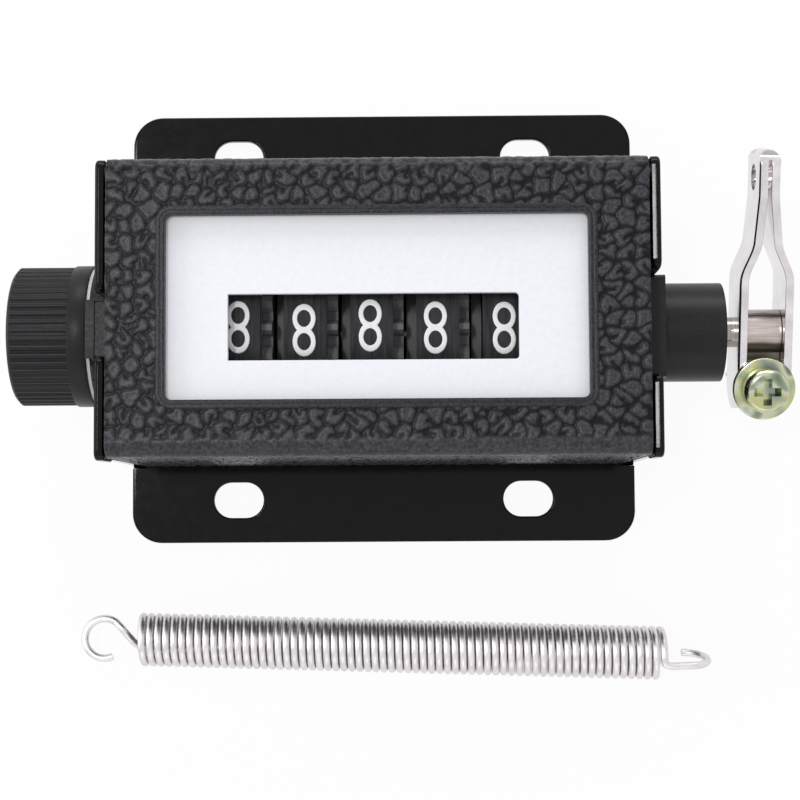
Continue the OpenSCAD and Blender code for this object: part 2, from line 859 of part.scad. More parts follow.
module open_ring(r, x) {
  yzx(x, x + ring_t) difference() {
    circle(r + ring_w);
    circle(r);
    translate([0, -r * ring_mouth / 2]) square([r + ring_w + cut, r * ring_mouth]);
  }
}

module reset_knob() {
  kx = knob_x1 - collar_len;
  edge = knob_x0 + knob_edge_r;
  end_r = knurl_r - knurl_depth - knob_step;
  color("#333336") on_axis() difference() {
    union() {
      yzx(edge, kx) polygon([for (i = [0 : 2 * knurl_count - 1])
        (knurl_r - (i % 2) * knurl_depth) * [cos(180 * i / knurl_count), sin(180 * i / knurl_count)]]);
      rotate([0, 90, 0]) rotate_extrude() {
        translate([0, knob_x0]) square([end_r - knob_edge_r, knob_edge_r]);
        translate([end_r - knob_edge_r, edge]) mirror([0, 1])
          intersection() {
            circle(knob_edge_r);
            square(knob_edge_r);
          }
      }
      xcyl(collar_r, kx, knob_x1);
      xcyl(knob_hub_r, knob_x1, plug_left_x - knob_gap);
    }
    xcyl(wheel_shaft_r, wheel_shaft_x0, plug_left_x);
    xcyl(end_r - knob_edge_r - knob_rim, knob_x0 - cut, knob_x0 + knob_dish);
  }
}

module knob_disc() {
  color("#dcdcdf") on_axis() xring(knob_disc_r, knob_hub_r, knob_x1, knob_x1 + knob_disc_t);
}

// carry pinions

module pinion_shaft() {
  color("#c4c5c8") translate([0, pin_y, pin_z])
    xcyl(pinion_shaft_r, frame_x0 - pinion_over, frame_x1 + pinion_over);
}

module pinion_ring_l() {
  color("#9a9b9e") translate([0, pin_y, pin_z]) open_ring(pinion_shaft_r, frame_x0 - ring_t);
}

module pinion_ring_r() {
  color("#9a9b9e") translate([0, pin_y, pin_z]) open_ring(pinion_shaft_r, frame_x1);
}

module carry_pinion(i) {
  half = (wheel_pitch - band_w) / 2 - pinion_play;
  x = units_x - (i + 0.5) * wheel_pitch;
  color("#d8d4c4") translate([0, pin_y, pin_z]) yzx(x - half, x + half) difference() {
    polygon(gear_points(pinion_teeth, pinion_add, pinion_ded,
      pinion_angle + 180 + 180 / pinion_teeth));
    circle(pinion_shaft_r + run_gap);
  }
}

module carry_pinion_a() {
  carry_pinion(0);
}

module carry_pinion_b() {
  carry_pinion(1);
}

module carry_pinion_c() {
  carry_pinion(2);
}

module carry_pinion_d() {
  carry_pinion(3);
}

// drive

module drive_shaft() {
  color("#b9babd") on_axis() xcyl(drive_shaft_r, drive_x0, arm_x + leg_half);
}

module drive_ring() {
  x = ear_in - flange_t - ring_gap - ring_t;
  color("#9a9b9e") on_axis() open_ring(drive_shaft_r, x);
}

module drive_crank() {
  color("#a9aaad") on_axis() difference() {
    union() {
      yzx(crank_x0, crank_x0 + crank_t) difference() {
        union() {
          circle(crank_hub_r + crank_collar);
          translate(plane_pin) circle(crank_arm_r);
          rotate(pawl_angle) translate([0, -crank_arm_r]) square([pawl_dist, 2 * crank_arm_r]);
        }
        translate(plane_pin) circle(pawl_pin_r);
      }
      xcyl(crank_hub_r, crank_x0, crank_x1);
    }
    xcyl(wheel_shaft_r + run_gap, crank_x0 - cut, drive_x0);
    xcyl(drive_shaft_r, drive_x0, crank_x1 + cut);
  }
}

module pawl_pin() {
  color("#c4c5c8") on_axis() translate([0, plane_pin[0], plane_pin[1]])
    xcyl(pawl_pin_r, pawl_x - pin_over, crank_x0 + crank_t);
}

// pawl outline about its eye, the tip leads by the given angle
module pawl_outline(a) {
  eye = pawl_dist * [cos(a), sin(a)];
  tip = tip_r * [cos(a + pawl_lead), sin(a + pawl_lead)];
  d = unit(tip - eye);
  n = [-d[1], d[0]];
  back = a + pawl_lead - pawl_heel;
  heel = (tip_r + pawl_tip_t) * [cos(back), sin(back)];
  difference() {
    union() {
      translate(eye) circle(pawl_eye_r);
      polygon([eye - n * pawl_waist, heel, tip, eye + n * pawl_waist]);
    }
    translate(eye) circle(pawl_pin_r + run_gap);
  }
}

module drive_pawl() {
  color("#c7b27a") on_axis() yzx(pawl_x, pawl_x + pawl_t) pawl_outline(pawl_angle);
}

module backstop_stud() {
  color("#c4c5c8") on_axis() translate([0, plane_stud[0], plane_stud[1]])
    xcyl(pawl_pin_r, pawl_x - pin_over, frame_x1);
}

module backstop_pawl() {
  color("#c7b27a") on_axis() yzx(pawl_x, pawl_x + pawl_t) pawl_outline(stud_angle);
}

// pull arm

function ease(t) = t * t * (3 - 2 * t);
function arm_half(h) = h <= leg_rise ? leg_half
  : h <= neck_rise ? leg_half + (neck_half - leg_half) * ease((h - leg_rise) / (neck_rise - leg_rise))
  : h <= pinch_rise ? neck_half + (tip_half - neck_half) * (h - neck_rise) / (pinch_rise - neck_rise)
  : tip_half;
arm_rises = concat(
  [-leg_drop], [for (k = [0 : 10]) leg_rise + (neck_rise - leg_rise) * k / 10], [pinch_rise]);
fold_h = tip_rise - tip_half;

module strip_outline() {
  outer = [for (h = arm_rises) [arm_half(h), h]];
  inner = [for (h = arm_rises) [arm_half(h) - arm_t, h]];
  for (s = [0, 1]) mirror([s, 0]) {
    polygon(concat(outer, [for (k = [len(inner) - 1 : -1 : 0]) inner[k]]));
    translate([tip_half - arm_t, pinch_rise - weld]) square([arm_t, fold_h - pinch_rise + weld]);
  }
  intersection() {
    difference() {
      translate([0, fold_h]) circle(tip_half);
      translate([0, fold_h]) circle(tip_half - arm_t);
    }
    translate([-tip_half, fold_h]) square([2 * tip_half, tip_half]);
  }
}

module side_outline() {
  w = arm_w;
  translate([-leg_drop + w / 2, 0]) circle(w / 2);
  translate([-leg_drop + w / 2, -w / 2]) square([tip_rise + leg_drop - w / 2 - tip_corner_r, w]);
  translate([0, -w / 2 + tip_corner_r]) square([tip_rise, w - 2 * tip_corner_r]);
  for (s = [-1, 1]) translate([tip_rise - tip_corner_r, s * (w / 2 - tip_corner_r)])
    circle(tip_corner_r);
}

module pull_arm() {
  color("#d7d8db") on_arm() intersection() {
    translate([0, 0, -arm_w / 2]) linear_extrude(arm_w) strip_outline();
    yzx(-leg_half - cut, leg_half + cut) difference() {
      side_outline();
      circle(drive_shaft_r);
      translate([eye_rise, 0]) circle(eye_r);
    }
  }
}

module arm_hub() {
  half = leg_half - arm_t - lug_play;
  lug_y0 = lug_short - leg_drop;
  color("#c4c5c8") on_arm() difference() {
    union() {
      xcyl(arm_hub_r, -half, half);
      translate([-half, lug_y0, -arm_w / 2]) cube([2 * half, -lug_top - lug_y0, arm_w]);
      translate([-half, -lug_top - weld, -hub_neck]) cube([2 * half, lug_top, 2 * hub_neck]);
    }
    xcyl(drive_shaft_r, -half - cut, half + cut);
    translate([-half - cut, -leg_drop, -hub_slit / 2]) cube([2 * (half + cut), leg_drop, hub_slit]);
    translate([clamp_shift, -clamp_drop, -arm_w]) cylinder(r = clamp_r, h = 2 * arm_w);
  }
}

// place on the front of the lugs, at the clamp screw
module at_clamp() {
  on_arm() translate([clamp_shift, -clamp_drop, arm_w / 2]) children();
}

module clamp_washer() {
  color("#c9b455") at_clamp() linear_extrude(washer_t) difference() {
    circle(washer_r);
    circle(clamp_r);
  }
}

module clamp_screw() {
  tail = arm_w + nut_t + clamp_tail;
  flat = washer_t + clamp_head_h - clamp_dome;
  color("#c9b455") at_clamp() difference() {
    union() {
      translate([0, 0, -tail]) cylinder(r = clamp_r, h = tail + washer_t);
      translate([0, 0, washer_t]) cylinder(r = clamp_head_r, h = clamp_head_h - clamp_dome);
      translate([0, 0, flat]) cylinder(r1 = clamp_head_r, r2 = clamp_head_r - clamp_slope, h = clamp_dome);
    }
    for (a = [0, 90]) rotate(a)
      translate([-cross_len / 2, -cross_w / 2, washer_t + clamp_head_h - cross_depth])
        cube([cross_len, cross_w, cross_depth + cut]);
  }
}

module clamp_nut() {
  color("#c9b455") at_clamp() translate([0, 0, -arm_w - nut_t]) linear_extrude(nut_t) difference() {
    circle(nut_af / 2 / cos(30), $fn = 6);
    circle(clamp_r);
  }
}

// loose tension spring, its axis along local X

body_x = (spring_len - spring_wire) / 2;
helix = [for (i = [0 : turn_points * spring_turns]) let (a = 90 + 360 * i / turn_points)
  [-body_x + spring_pitch * i / turn_points, spring_r * cos(a), spring_r * sin(a)]];
left_c = [-body_x - hook_left, 0, -hook_sink];
left_arc = [for (a = [-65 : -16 : -305]) left_c + hook_r * [cos(a), sin(a), 0]];
left_end = left_arc[len(left_arc) - 1];
lean_v = [0, -sin(hook_lean), cos(hook_lean)];
right_c = [body_x + hook_right, -hook_side, -hook_sink];
right_arc = [for (a = [80 : -16 : -100]) right_c + hook_r * (cos(a) * [1, 0, 0] + sin(a) * lean_v)];
helix_end = helix[len(helix) - 1];
left_join = [for (k = [1 : 4]) bez(left_end, left_end + hook_join * [sin(55), -cos(55), 0.9],
  helix[0] + hook_join * [-0.45, 0.75, 0], helix[0], k / 5)];
right_join = [for (k = [1 : 3]) bez(helix_end, helix_end + hook_join * [0.2, -0.5, 0],
  right_arc[0] + hook_join * [-0.9, 0, 0], right_arc[0], k / 4)];
spring_path = concat(left_arc, left_join, helix, right_join, right_arc);
echo(str("least gap of the loose spring ", wire_gap(spring_path, spring_wire)));
echo(str("least gap of the return spring ", wire_gap(return_coil, return_wire)));

module tension_spring() {
  color("#d7d8db") translate([spring_x, spring_y, spring_od / 2]) rotate([0, 0, spring_turn])
    tube(spring_path, spring_wire, [0, 0, 1]);
}

base_plate();
front_cover();
dial_plate();
cover_screw_a();
cover_screw_b();
cover_screw_c();
cover_screw_d();
inner_frame();
frame_rivet_a();
frame_rivet_b();
bearing_left();
bearing_right();
bush_cap();
return_spring();
wheel_shaft();
shaft_ring();
reset_knob();
knob_disc();
wheel_units();
wheel_tens();
wheel_hundreds();
wheel_thousands();
wheel_tenthousands();
ratchet_wheel();
pinion_shaft();
pinion_ring_l();
pinion_ring_r();
carry_pinion_a();
carry_pinion_b();
carry_pinion_c();
carry_pinion_d();
drive_shaft();
drive_ring();
drive_crank();
pawl_pin();
drive_pawl();
backstop_stud();
backstop_pawl();
pull_arm();
arm_hub();
clamp_screw();
clamp_washer();
clamp_nut();
tension_spring();
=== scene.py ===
"""Looks of a mechanical pull counter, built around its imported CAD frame.

Sizes are in millimetres and angles in degrees, up to where a mesh or a node is made.
"""

import json
import logging
import math
import random
from dataclasses import dataclass
from enum import Enum
from typing import Any, Callable, Iterable, Sequence

import bmesh
import bpy
import numpy as np
from mathutils import Matrix, Vector

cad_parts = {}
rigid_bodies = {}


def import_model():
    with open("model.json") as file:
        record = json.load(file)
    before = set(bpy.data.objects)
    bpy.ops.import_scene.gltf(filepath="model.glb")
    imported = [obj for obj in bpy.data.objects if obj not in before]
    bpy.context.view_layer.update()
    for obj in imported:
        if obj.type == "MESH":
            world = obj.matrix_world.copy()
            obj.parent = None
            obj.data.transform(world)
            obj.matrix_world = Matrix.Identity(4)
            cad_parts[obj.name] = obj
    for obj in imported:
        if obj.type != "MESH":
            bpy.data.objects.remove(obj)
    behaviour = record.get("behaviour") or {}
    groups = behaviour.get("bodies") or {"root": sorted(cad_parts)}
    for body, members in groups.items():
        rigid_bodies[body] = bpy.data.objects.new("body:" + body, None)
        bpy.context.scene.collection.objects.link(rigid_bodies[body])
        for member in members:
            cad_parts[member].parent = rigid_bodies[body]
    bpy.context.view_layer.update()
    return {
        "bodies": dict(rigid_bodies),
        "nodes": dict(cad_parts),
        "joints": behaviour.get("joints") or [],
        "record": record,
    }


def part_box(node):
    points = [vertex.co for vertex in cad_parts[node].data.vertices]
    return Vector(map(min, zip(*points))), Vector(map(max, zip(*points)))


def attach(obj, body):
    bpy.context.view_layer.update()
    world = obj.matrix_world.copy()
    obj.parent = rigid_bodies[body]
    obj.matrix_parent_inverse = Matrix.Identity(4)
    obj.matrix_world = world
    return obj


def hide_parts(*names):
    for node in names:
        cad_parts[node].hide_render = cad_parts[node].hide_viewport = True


LOG = logging.getLogger("pull_counter")
Point = tuple[float, float, float]
Pair = tuple[float, float]
Row = tuple[float, float, float, float, float, float]
Object = bpy.types.Object
Mesh = bpy.types.Mesh
Material = bpy.types.Material
Node = bpy.types.Node
NodeTree = bpy.types.NodeTree
Socket = bpy.types.NodeSocket
Share = Callable[[Vector, Vector], float]
Form = Callable[[bmesh.types.BMesh], None]

MM = 0.001
TINY = 1e-9

# Tolerances for a mesh that is copied from the frame.
DOUBLES_MM = 0.002
FLAT_ANGLE = math.radians(0.6)
SHARP_ANGLE = math.radians(28)

# The part of a noise pattern that is spread over a finish, and how rough the pattern is.
NOISE_RANGE = (0.3, 0.7)
NOISE_ROUGHNESS = 0.6

# Places of the colours and of their result on a Mix node.
MIX_A, MIX_B, MIX_RESULT = 6, 7, 2

# Sides of the round bars that are swept into figures and knurls.
PEN_SIDES = 10
RIDGE_SIDES = 14


class Body(str, Enum):
    """Bodies of the frame that pieces ride on."""

    HOUSING = "housing"
    RESET = "reset"
    LEVER = "lever"
    SPRING = "loose_spring"


class Slot(str, Enum):
    """Material slots of the record."""

    ENAMEL = "black_enamel"
    COVER = "grained_cover"
    DIAL = "white_dial"
    SCREW = "zinc_screw"
    SHEET = "plated_sheet"
    MOULDING = "black_moulding"
    WIRE = "spring_wire"
    SHAFT = "ground_steel"
    RING = "ring_steel"
    WHEEL = "wheel_black"
    BRASS = "pawl_brass"
    PINION = "pinion_ivory"
    NICKEL = "nickel"
    ZINC = "yellow_zinc"


# general helpers


def linear(code: str) -> tuple[float, float, float, float]:
    """Turn an sRGB hex colour into linear values.

    Args:
        code: the colour as "#rrggbb".

    Returns:
        Red, green, blue and an alpha of 1.
    """
    parts = [int(code[i : i + 2], 16) / 255 for i in (1, 3, 5)]
    values = [c / 12.92 if c <= 0.04045 else ((c + 0.055) / 1.055) ** 2.4 for c in parts]
    return values[0], values[1], values[2], 1.0


def add_node(tree: NodeTree, kind: str, inputs: dict[Any, Any] | None = None,
             **settings: Any) -> Node:
    """Add a node with its settings and links.

    Args:
        tree: the tree that gets the node.
        kind: Blender's name of the node type.
        inputs: values, sockets or nodes for the inputs, by name or place.
        **settings: properties of the node.

    Returns:
        The new node.
    """
    node = tree.nodes.new(kind)
    for name, value in settings.items():
        setattr(node, name, value)
    for key, value in (inputs or {}).items():
        if isinstance(value, Node):
            tree.links.new(value.outputs[0], node.inputs[key])
        elif isinstance(value, Socket):
            tree.links.new(value, node.inputs[key])
        else:
            node.inputs[key].default_value = value
    return node


def empty_tree(owner: Material | bpy.types.World) -> NodeTree:
    """Give a material or a world an empty node tree.

    Args:
        owner: the material or world.

    Returns:
        Its node tree.
    """
    owner.use_nodes = True
    owner.node_tree.nodes.clear()
    return owner.node_tree


def new_object(name: str, points: Sequence[Sequence[float]], faces: Sequence[Sequence[int]],
               edges: Sequence[Sequence[int]] = ()) -> Object:
    """Make a mesh object from points in millimetres.

    Args:
        name: name of the object.
        points: vertices in millimetres, in the frame of the part.
        faces: vertex numbers of each face.
        edges: vertex numbers of loose edges.

    Returns:
        The object, linked to the scene.
    """
    mesh = bpy.data.meshes.new(name)
    mesh.from_pydata([tuple(c * MM for c in p) for p in points], edges, faces)
    mesh.validate()
    return link_mesh(name, mesh)


def link_mesh(name: str, mesh: Mesh) -> Object:
    """Link a mesh to the scene.

    Args:
        name: name of the object.
        mesh: the mesh.

    Returns:
        The object.
    """
    obj = bpy.data.objects.new(name, mesh)
    bpy.context.scene.collection.objects.link(obj)
    return obj


def smooth(obj: Object, angle: float = 35.0) -> None:
    """Shade an object smooth, with edges over the given angle in degrees left sharp."""
    obj.data.shade_smooth()
    obj.data.set_sharp_from_angle(angle=math.radians(angle))


def evaluated(obj: Object, name: str) -> Object:
    """Turn an object with modifiers into a plain mesh object.

    Args:
        obj: the object, which is removed.
        name: name of the result.

    Returns:
        The plain object.
    """
    graph = bpy.context.evaluated_depsgraph_get()
    mesh = bpy.data.meshes.new_from_object(obj.evaluated_get(graph))
    obj.modifiers.clear()
    bpy.data.objects.remove(obj)
    return link_mesh(name, mesh)


def merged(mesh: Mesh, share: Share | None = None, form: Form | None = None) -> None:
    """Merge the doubles of a mesh, join its flat triangles and mark its sharp edges for rounding.

    Args:
        mesh: the mesh to change.
        share: share of the rounding at an edge, from its middle in millimetres and the way
            that it faces.
        form: a change of form before the edges are marked.
    """
    work = bmesh.new()
    work.from_mesh(mesh)
    bmesh.ops.remove_doubles(work, verts=work.verts, dist=DOUBLES_MM * MM)
    bmesh.ops.dissolve_limit(work, angle_limit=FLAT_ANGLE, verts=work.verts, edges=work.edges)
    if form:
        form(work)
    weight = work.edges.layers.float.new("bevel_weight_edge")
    for edge in work.edges:
        if edge.is_manifold and edge.calc_face_angle() > SHARP_ANGLE:
            middle = (edge.verts[0].co + edge.verts[1].co) / 2 / MM
            facing = edge.link_faces[0].normal + edge.link_faces[1].normal
            edge[weight] = share(middle, facing) if share else 1.0
    work.to_mesh(mesh)
    work.free()


def softened(node: Object, name: str, width: float, segments: int = 2, clamp: bool = True,
             share: Share | None = None, form: Form | None = None) -> Object:
    """Copy a CAD node and round its edges, as tumbling, plating or a mould does.

    Args:
        node: the CAD node.
        name: name of the copy.
        width: width of the rounding in millimetres.
        segments: faces across the rounding.
        clamp: False where the full width is known to fit at every edge.
        share: share of the width at an edge, from its middle in millimetres and the way
            that it faces.
        form: a change of form before the edges are rounded.

    Returns:
        The copy.
    """
    copy = link_mesh(name + "_raw", node.data.copy())
    merged(copy.data, share, form)
    bevel = copy.modifiers.new("edges", "BEVEL")
    bevel.width = width * MM
    bevel.segments = segments
    bevel.use_clamp_overlap = clamp
    bevel.limit_method = "WEIGHT"
    bevel.miter_outer = "MITER_ARC"
    rounded = evaluated(copy, name + "_rounded")
    smooth(rounded)
    flats = rounded.modifiers.new("flats stay flat", "WEIGHTED_NORMAL")
    flats.keep_sharp = True
    return evaluated(rounded, name)


def revolved(name: str, profile: Sequence[Pair], centre: Pair, steps: int) -> Object:
    """Revolve a profile about a line along X.

    Args:
        name: name of the object.
        profile: places along X and radii in millimetres, from pole to pole.
        centre: Y and Z of the line.
        steps: faces around.

    Returns:
        The closed object.
    """
    points: list[Point] = []
    rings: list[list[int]] = []
    for x, r in profile:
        count = 1 if r == 0 else steps
        rings.append([len(points) + k for k in range(count)])
        for k in range(count):
            turn = 2 * math.pi * k / steps
            points.append((x, centre[0] + r * math.cos(turn), centre[1] + r * math.sin(turn)))
    faces: list[tuple[int, ...]] = []
    for low, high in zip(rings, rings[1:]):
        for k in range(steps):
            corners = (low[k % len(low)], low[(k + 1) % len(low)],
                       high[(k + 1) % len(high)], high[k % len(high)])
            faces.append(tuple(dict.fromkeys(corners)))
    obj = new_object(name, points, faces)
    work = bmesh.new()
    work.from_mesh(obj.data)
    bmesh.ops.recalc_face_normals(work, faces=work.faces)
    work.to_mesh(obj.data)
    work.free()
    smooth(obj)
    return obj


def dress(obj: Object, material: Material) -> None:
    """Give an object one material."""
    obj.data.materials.clear()
    obj.data.materials.append(material)


def arc(cx: float, cy: float, rx: float, ry: float, start: float, end: float,
        count: int) -> list[Pair]:
    """Points along an arc of an ellipse.

    Args:
        cx: centre across.
        cy: centre up.
        rx: radius across.
        ry: radius up.
        start: first angle in degrees.
        end: last angle in degrees.
        count: number of steps.

    Returns:
        The points, both ends included.
    """
    angles = [math.radians(start + (end - start) * k / count) for k in range(count + 1)]
    return [(cx + rx * math.cos(a), cy + ry * math.sin(a)) for a in angles]


def rounded_loop(low: Pair, high: Pair, radius: float, steps: int) -> list[Pair]:
    """Follow a rectangle with rounded corners.

    Args:
        low: lowest centre of a corner.
        high: highest centre of a corner.
        radius: radius of the corners.
        steps: number of steps round a corner.

    Returns:
        The points in order.
    """
    corners = (high, (low[0], high[1]), low, (high[0], low[1]))
    return [point for k, (x, y) in enumerate(corners)
            for point in arc(x, y, radius, radius, 90 * k, 90 * k + 90, steps)]


def tube(rings: int, count: int, closed: bool = False) -> list[tuple[int, ...]]:
    """Number the faces of a tube that runs through rings of points.

    Args:
        rings: number of rings.
        count: number of points on a ring.
        closed: True where the last ring meets the first. Otherwise each end gets a face.

    Returns:
        Vertex numbers of each face.
    """
    faces: list[tuple[int, ...]] = []
    for a in range(rings if closed else rings - 1):
        here, there = a * count, (a + 1) % rings * count
        faces += [(here + k, here + (k + 1) % count, there + (k + 1) % count, there + k)
                  for k in range(count)]
    if not closed:
        last = (rings - 1) * count
        faces += [tuple(range(count - 1, -1, -1)), tuple(range(last, last + count))]
    return faces


# geometry node trees


@dataclass
class Tree:
    """A geometry node tree with named inputs."""

    group: NodeTree
    start: Node
    end: Node
    keys: dict[str, str]

    @classmethod
    def new(cls, name: str, sockets: dict[str, str]) -> "Tree":
        """Start a tree.

        Args:
            name: name of the tree.
            sockets: socket type of each named input.

        Returns:
            The tree, with its input and output nodes.
        """
        group = bpy.data.node_groups.new(name, "GeometryNodeTree")
        new_socket = group.interface.new_socket
        for way in ("INPUT", "OUTPUT"):
            new_socket(name="Geometry", in_out=way, socket_type="NodeSocketGeometry")
        keys: dict[str, str] = {}
        for label, kind in sockets.items():
            socket = new_socket(name=label, in_out="INPUT", socket_type="NodeSocket" + kind)
            keys[label] = socket.identifier
        start = add_node(group, "NodeGroupInput")
        end = add_node(group, "NodeGroupOutput")
        return cls(group, start, end, keys)

    def add(self, kind: str, inputs: dict[Any, Any] | None = None, **settings: Any) -> Node:
        """Add a node to the tree and return it."""
        return add_node(self.group, kind, inputs, **settings)

    def sweep(self, path: Node, sides: int | Socket, radius: Node | Socket) -> Node:
        """Sweep a round bar along a curve.

        Args:
            path: the node that gives the curve.
            sides: number of sides of the bar.
            radius: what gives its radius.

        Returns:
            The node that gives the mesh.
        """
        bar = self.add("GeometryNodeCurvePrimitiveCircle", {"Resolution": sides, "Radius": radius})
        return self.add("GeometryNodeCurveToMesh",
                        {"Curve": path, "Profile Curve": bar, "Fill Caps": True})

    def close(self, geometry: Node) -> None:
        """End the tree in smooth shading, realized instances and the material.

        Args:
            geometry: the node whose first output is the finished shape.
        """
        real = self.add("GeometryNodeRealizeInstances", {0: geometry})
        shaded = self.add("GeometryNodeSetShadeSmooth", {"Geometry": real})
        painted = self.add("GeometryNodeSetMaterial",
                           {"Geometry": shaded, "Material": self.start.outputs["Finish"]})
        self.group.links.new(painted.outputs[0], self.end.inputs[0])

    def grow(self, source: Object, name: str, values: dict[str, Any]) -> Object:
        """Run the tree on an object and keep the result as a plain mesh.

        Args:
            source: the object that the tree starts from, which is removed.
            name: name of the result.
            values: value of each named input.

        Returns:
            The plain object.
        """
        modifier = source.modifiers.new(self.group.name, "NODES")
        modifier.node_group = self.group
        for label, value in values.items():
            modifier[self.keys[label]] = value
        return evaluated(source, name)


def wire_tree() -> Tree:
    """Make the tree that gives a line of edges the form of a round wire.

    Returns:
        The tree, with inputs Radius, Sides and Finish.
    """
    tree = Tree.new("spring wire", {"Radius": "Float", "Sides": "Int", "Finish": "Material"})
    source = tree.start.outputs
    path = tree.add("GeometryNodeMeshToCurve", {0: source["Geometry"]})
    tree.close(tree.sweep(path, source["Sides"], source["Radius"]))
    return tree


def figure_tree() -> Tree:
    """Make the tree that lays flat strokes on the band of a wheel.

    Returns:
        The tree, with inputs Stroke, Aspect, Ink, Radius, Turn, Axis and Finish.
    """
    tree = Tree.new("figures on a wheel", {
        "Stroke": "Float", "Aspect": "Float", "Ink": "Float", "Radius": "Float",
        "Turn": "Float", "Axis": "Vector", "Finish": "Material"})
    source = tree.start.outputs
    path = tree.add("GeometryNodeMeshToCurve", {0: source["Geometry"]})
    half = tree.add("ShaderNodeMath", {0: source["Stroke"], 1: 0.5}, operation="MULTIPLY")
    strokes = tree.sweep(path, PEN_SIDES, half)
    place = tree.add("ShaderNodeSeparateXYZ", {0: tree.add("GeometryNodeInputPosition")}).outputs
    share = tree.add("ShaderNodeMath", {0: place["Z"], 1: half}, operation="DIVIDE")
    height = tree.add("ShaderNodeMath", {0: share, 1: source["Ink"]}, operation="MULTIPLY")
    radius = tree.add("ShaderNodeMath", {0: height, 1: source["Radius"]}, operation="ADD")
    rolled = tree.add("ShaderNodeMath", {0: place["Y"], 1: source["Radius"]}, operation="DIVIDE")
    angle = tree.add("ShaderNodeMath", {0: rolled, 1: source["Turn"]}, operation="ADD")
    sine = tree.add("ShaderNodeMath", {0: angle}, operation="SINE")
    cosine = tree.add("ShaderNodeMath", {0: angle}, operation="COSINE")
    up = tree.add("ShaderNodeMath", {0: radius, 1: sine}, operation="MULTIPLY")
    out = tree.add("ShaderNodeMath", {0: radius, 1: cosine}, operation="MULTIPLY")
    across = tree.add("ShaderNodeMath", {0: place["X"], 1: source["Aspect"]}, operation="MULTIPLY")
    bent = tree.add("ShaderNodeCombineXYZ", {"X": across, "Y": up, "Z": out})
    moved = tree.add("ShaderNodeVectorMath", {0: bent, 1: source["Axis"]}, operation="ADD")
    tree.close(tree.add("GeometryNodeSetPosition", {"Geometry": strokes, "Position": moved}))
    return tree


def knurl_tree() -> Tree:
    """Make the tree that sets straight knurls around a drum.

    Returns:
        The tree, with inputs Count, Circle, Ridge, From, To, Axis and Finish.
    """
    tree = Tree.new("straight knurls", {
        "Count": "Int", "Circle": "Float", "Ridge": "Float", "From": "Float", "To": "Float",
        "Axis": "Vector", "Finish": "Material"})
    source = tree.start.outputs
    ring = tree.add("GeometryNodeMeshCircle",
                    {"Vertices": source["Count"], "Radius": source["Circle"]})
    low = tree.add("ShaderNodeCombineXYZ", {"Z": source["From"]})
    high = tree.add("ShaderNodeCombineXYZ", {"Z": source["To"]})
    line = tree.add("GeometryNodeCurvePrimitiveLine", {"Start": low, "End": high})
    ridge = tree.sweep(line, RIDGE_SIDES, source["Ridge"])
    ridges = tree.add("GeometryNodeInstanceOnPoints", {"Points": ring, "Instance": ridge})
    laid = tree.add("GeometryNodeTransform", {
        "Geometry": ridges, "Translation": source["Axis"], "Rotation": (0.0, math.pi / 2, 0.0)})
    both = tree.add("GeometryNodeJoinGeometry", {"Geometry": laid})
    tree.group.links.new(source["Geometry"], both.inputs["Geometry"])
    tree.close(both)
    return tree


# finishes


@dataclass(frozen=True)
class Finish:
    """A finish of two close tones, broken up by a fine pattern."""

    name: str
    dark: str
    light: str
    roughness: Pair
    pattern_mm: Point
    relief_mm: float = 0.0
    metallic: float = 0.0
    specular: float = 0.5
    detail: float = 3.0

    def tone(self, tree: NodeTree, noise: Node) -> Socket:
        """Mix the two tones by the pattern.

        Args:
            tree: tree of the material.
            noise: the pattern.

        Returns:
            The socket with the colour.
        """
        share = add_node(tree, "ShaderNodeMapRange",
                         {"Value": noise, "From Min": NOISE_RANGE[0], "From Max": NOISE_RANGE[1]})
        mix = add_node(tree, "ShaderNodeMix",
                       {0: share, MIX_A: linear(self.dark), MIX_B: linear(self.light)},
                       data_type="RGBA")
        return mix.outputs[MIX_RESULT]

    def make(self) -> Material:
        """Build the material.

        Returns:
            The material.
        """
        material = bpy.data.materials.new(self.name)
        tree = empty_tree(material)
        scale = tuple(1 / (size * MM) for size in self.pattern_mm)
        coords = add_node(tree, "ShaderNodeTexCoord")
        place = add_node(tree, "ShaderNodeMapping",
                         {"Vector": coords.outputs["Object"], "Scale": scale})
        noise = add_node(tree, "ShaderNodeTexNoise", {
            "Vector": place, "Scale": 1.0, "Detail": self.detail, "Roughness": NOISE_ROUGHNESS})
        rough = add_node(tree, "ShaderNodeMapRange", {
            "Value": noise, "From Min": NOISE_RANGE[0], "From Max": NOISE_RANGE[1],
            "To Min": self.roughness[0], "To Max": self.roughness[1]})
        shader = add_node(tree, "ShaderNodeBsdfPrincipled", {
            "Base Color": self.tone(tree, noise), "Roughness": rough, "Metallic": self.metallic,
            "Specular IOR Level": self.specular})
        if self.relief_mm > 0:
            bump = add_node(tree, "ShaderNodeBump",
                            {"Height": noise, "Distance": self.relief_mm * MM})
            tree.links.new(bump.outputs[0], shader.inputs["Normal"])
        add_node(tree, "ShaderNodeOutputMaterial", {"Surface": shader})
        return material


@dataclass(frozen=True)
class GrainFinish(Finish):
    """A finish whose tones follow the raised grain stored on the mesh, with painted shade where the
    grain lies low.
    """

    # Painted shade: the tone of the grooves, mixed in by how low the grain lies.
    groove: str = "#0e0e0f"

    def tone(self, tree: NodeTree, noise: Node) -> Socket:
        """Mix the grooves' painted shade with the tones of the raised grain.

        Args:
            tree: tree of the material.
            noise: the fine pattern on the raised grain.

        Returns:
            The socket with the colour.
        """
        raised = super().tone(tree, noise)
        grain = add_node(tree, "ShaderNodeAttribute", attribute_name=LeatherGrain.ATTRIBUTE)
        mix = add_node(tree, "ShaderNodeMix",
                       {0: grain.outputs["Fac"], MIX_A: linear(self.groove), MIX_B: raised},
                       data_type="RGBA")
        return mix.outputs[MIX_RESULT]


